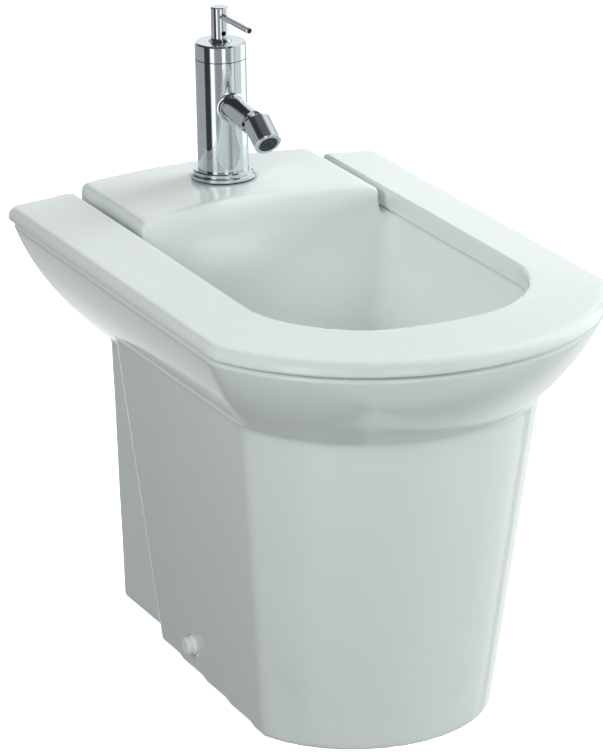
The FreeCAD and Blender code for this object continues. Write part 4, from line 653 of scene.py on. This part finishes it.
@dataclass
class Studio:
    """Camera, pale floor, soft lights and a ring of light and dark panels.

    The edges between the tiers of panels are heights of the view's direction, from -1 straight down to
    1 straight up.
    """

    camera_place: tuple[float, float, float] = (-1.5547, -3.2453, 1.5475)
    azimuth: float = -25.199
    elevation: float = 19.395
    roll: float = -1.158
    focal_px: float = 4469.07
    picture_height_px: float = 755.0
    sensor_mm: float = 36.0
    target: tuple[float, float, float] = (0.0, 0.0, 0.3)
    floor_radius: float = 9.0
    floor_sides: int = 96
    floor_colour: str = "F8F9F9"
    floor_glow_colour: str = "FFFFFF"
    floor_roughness: float = 0.9
    floor_glow: float = 0.9
    backdrop: float = 1.2
    panel_tint: str = "F9FFFF"
    lamp_tint: str = "FDFFFF"
    ground_surround: float = 0.2
    low_surround: float = 0.43
    low_matt_share: float = 0.3
    high_surround: float = 0.05
    zenith: float = 0.14
    ground_edge: tuple[float, float] = (-0.75, -0.25)
    tier_edge: tuple[float, float] = (0.3, 0.5)
    roof_edge: tuple[float, float] = (0.8, 0.97)
    softboxes: tuple[Softbox, ...] = (
        Softbox("left_high_softbox", (-2.0, -0.9, 1.9), (1.2, 1.2), 14.0),
        Softbox("left_softbox", (-2.1, -1.2, 1.4), (1.0, 0.8), 25.0),
        Softbox("right_softbox", (1.4, 0.3, 1.8), (0.9, 0.9), 28.0),
        Softbox("right_front_softbox", (1.8, -1.0, 0.5), (1.2, 0.9), 28.0),
        Softbox("rear_top_softbox", (0.0, 1.1, 2.2), (1.4, 1.4), 8.0),
        Softbox("rear_softbox", (0.7, 2.4, 0.8), (1.2, 0.8), 13.0),
        Softbox("front_top_softbox", (-0.4, -1.8, 1.9), (1.2, 0.8), 9.0),
        Softbox("front_left_softbox", (-1.5, -2.0, 0.5), (1.0, 0.5), 4.0),
    )
    ground_panels: tuple[Panel, ...] = (
        Panel(38.0, 45.0, 62.0, 0.85),
        Panel(168.0, 10.0, 38.0, 1.0),
    )
    low_panels: tuple[Panel, ...] = (
        Panel(-62.0, 11.0, 6.0, 0.05),
        Panel(-36.0, 6.0, 5.0, 1.45),
        Panel(-8.0, 10.0, 6.0, 0.36),
        Panel(15.0, 5.0, 5.0, 1.35),
        Panel(34.0, 8.0, 5.0, 0.36),
        Panel(55.0, 4.0, 4.0, 0.95),
        Panel(86.0, 16.0, 8.0, 0.8),
        Panel(120.0, 16.0, 5.0, 1.4),
        Panel(180.0, 28.0, 6.0, 1.0),
    )
    high_panels: tuple[Panel, ...] = (
        Panel(130.0, 35.0, 12.0, 0.95),
        Panel(180.0, 22.0, 8.0, 0.9),
    )

    def add_camera(self) -> None:
        """Place the camera at the photograph's viewing angle."""
        azimuth = math.radians(self.azimuth)
        elevation = math.radians(self.elevation)
        back = Vector(
            (
                math.sin(azimuth) * math.cos(elevation),
                -math.cos(azimuth) * math.cos(elevation),
                math.sin(elevation),
            )
        )
        right = Vector((0.0, 0.0, 1.0)).cross(back).normalized()
        up = back.cross(right)
        axes = Matrix((right, up, back)).transposed()
        turn = Matrix.Rotation(math.radians(self.roll), 3, "Z")
        data = bpy.data.cameras.new("camera")
        data.sensor_width = self.sensor_mm
        data.lens = self.focal_px / self.picture_height_px * self.sensor_mm
        camera = bpy.data.objects.new("camera", data)
        camera.matrix_world = Matrix.Translation(self.camera_place) @ (axes @ turn).to_4x4()
        bpy.context.scene.collection.objects.link(camera)
        bpy.context.scene.camera = camera

    def add_floor(self) -> None:
        """Lay a plain pale floor, which the object's own surfaces don't see."""
        mesh = bpy.data.meshes.new("floor")
        shape = bmesh.new()
        bmesh.ops.create_circle(shape, cap_ends=True, radius=self.floor_radius, segments=self.floor_sides)
        shape.to_mesh(mesh)
        shape.free()
        floor = bpy.data.objects.new("floor", mesh)
        floor.visible_glossy = False
        floor.visible_diffuse = False
        bpy.context.scene.collection.objects.link(floor)
        material = bpy.data.materials.new("matt_white_floor")
        material.use_nodes = True
        shader = material.node_tree.nodes["Principled BSDF"]
        shader.inputs["Base Color"].default_value = linear(self.floor_colour)
        shader.inputs["Roughness"].default_value = self.floor_roughness
        shader.inputs["Emission Color"].default_value = linear(self.floor_glow_colour)
        shader.inputs["Emission Strength"].default_value = self.floor_glow
        mesh.materials.append(material)

    def add_softbox(self, box: Softbox) -> None:
        """Hang one soft light.

        Args:
            box: Its place, size and power.
        """
        data = bpy.data.lights.new(box.name, "AREA")
        data.shape = "RECTANGLE"
        data.size, data.size_y = box.size
        data.energy = box.power
        data.color = linear(self.lamp_tint)[:3]
        light = bpy.data.objects.new(box.name, data)
        light.location = box.place
        way = Vector(self.target) - Vector(box.place)
        light.rotation_mode = "QUATERNION"
        light.rotation_quaternion = way.to_track_quat("-Z", "Y")
        light.visible_glossy = False
        bpy.context.scene.collection.objects.link(light)

    def add_tier(
        self,
        tree: bpy.types.NodeTree,
        heading: bpy.types.NodeSocket,
        surround: float,
        panels: tuple[Panel, ...],
    ) -> bpy.types.NodeSocket:
        """Stand one tier of panels in the world's node tree.

        Args:
            tree: Node tree of the world.
            heading: Direction round the object, in radians from the camera.
            surround: Brightness between the panels.
            panels: The panels, a later one in front of an earlier one.

        Returns:
            Brightness of the tier in that direction.
        """
        level = None
        for panel in panels:
            away = add_node(
                tree,
                "ShaderNodeMath",
                {"operation": "SUBTRACT"},
                {1: math.radians(panel.azimuth)},
                {0: heading},
            )
            near = add_node(
                tree,
                "ShaderNodeMath",
                {"operation": "PINGPONG"},
                {1: math.pi},
                {0: away.outputs[0]},
            )
            edge = math.radians(panel.half_width)
            links = {"Value": near.outputs[0]}
            if level:
                links["To Max"] = level
            level = add_node(
                tree,
                "ShaderNodeMapRange",
                {"interpolation_type": "SMOOTHSTEP"},
                {
                    "From Min": edge,
                    "From Max": edge + math.radians(panel.softness),
                    "To Min": panel.brightness,
                    "To Max": surround,
                },
                links,
            ).outputs[0]
        return level

    def add_world(self) -> None:
        """Stand two tiers of panels round the object, over a pale ground.

        Only the gloss sees the high tier. The camera sees plain white.
        """
        world = bpy.data.worlds.new("studio")
        world.use_nodes = True
        bpy.context.scene.world = world
        tree = world.node_tree
        tree.nodes.clear()
        soft = {"interpolation_type": "SMOOTHSTEP"}
        ray = add_node(tree, "ShaderNodeLightPath")
        place = add_node(tree, "ShaderNodeTexCoord")
        towards_camera = math.atan2(self.camera_place[1], self.camera_place[0])
        turned = add_node(
            tree,
            "ShaderNodeVectorRotate",
            {"rotation_type": "Z_AXIS"},
            {"Angle": -towards_camera},
            {"Vector": place.outputs["Generated"]},
        )
        axes = add_node(tree, "ShaderNodeSeparateXYZ", links={0: turned.outputs[0]})
        heading = add_node(
            tree,
            "ShaderNodeMath",
            {"operation": "ARCTAN2"},
            links={0: axes.outputs["Y"], 1: axes.outputs["X"]},
        )
        low = self.add_tier(tree, heading.outputs[0], self.low_surround, self.low_panels)
        high = self.add_tier(tree, heading.outputs[0], self.high_surround, self.high_panels)
        ground = self.add_tier(tree, heading.outputs[0], self.ground_surround, self.ground_panels)
        roof = add_node(
            tree,
            "ShaderNodeMapRange",
            soft,
            {"From Min": self.roof_edge[0], "From Max": self.roof_edge[1], "To Max": self.zenith},
            {"Value": axes.outputs["Z"], "To Min": high},
        )
        shares = []
        for tier, matt_share in ((low, self.low_matt_share), (roof.outputs[0], 0.0)):
            share = add_node(
                tree,
                "ShaderNodeMapRange",
                values={"To Min": matt_share},
                links={"Value": ray.outputs["Is Glossy Ray"]},
            )
            shares.append(
                add_node(
                    tree,
                    "ShaderNodeMath",
                    {"operation": "MULTIPLY"},
                    links={0: tier, 1: share.outputs[0]},
                )
            )
        upper = add_node(
            tree,
            "ShaderNodeMapRange",
            soft,
            {"From Min": self.tier_edge[0], "From Max": self.tier_edge[1]},
            {
                "Value": axes.outputs["Z"],
                "To Min": shares[0].outputs[0],
                "To Max": shares[1].outputs[0],
            },
        )
        whole = add_node(
            tree,
            "ShaderNodeMapRange",
            soft,
            {"From Min": self.ground_edge[0], "From Max": self.ground_edge[1]},
            {"Value": axes.outputs["Z"], "To Min": ground, "To Max": upper.outputs[0]},
        )
        seen = add_node(
            tree,
            "ShaderNodeMix",
            {"data_type": "FLOAT"},
            {3: self.backdrop},
            {0: ray.outputs["Is Camera Ray"], 2: whole.outputs[0]},
        )
        background = add_node(
            tree,
            "ShaderNodeBackground",
            values={"Color": linear(self.panel_tint)},
            links={"Strength": seen.outputs[0]},
        )
        add_node(tree, "ShaderNodeOutputWorld", links={"Surface": background.outputs[0]})

    def build(self) -> None:
        """Set up the whole studio."""
        self.add_camera()
        self.add_floor()
        self.add_world()
        for box in self.softboxes:
            self.add_softbox(box)
        bpy.context.scene.view_settings.view_transform = "Standard"


def main() -> None:
    """Build the object's looks and the studio in order."""
    logging.basicConfig(level=logging.INFO)
    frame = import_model()
    Studio().build()
    slots = {entry["node"]: entry["material_slot"] for entry in frame["record"]["subparts"]}
    Fittings(frame["nodes"]).build(slots)
    Ceramics(frame["nodes"]).build()
    TapTrim().build()


if __name__ == "__main__":
    main()
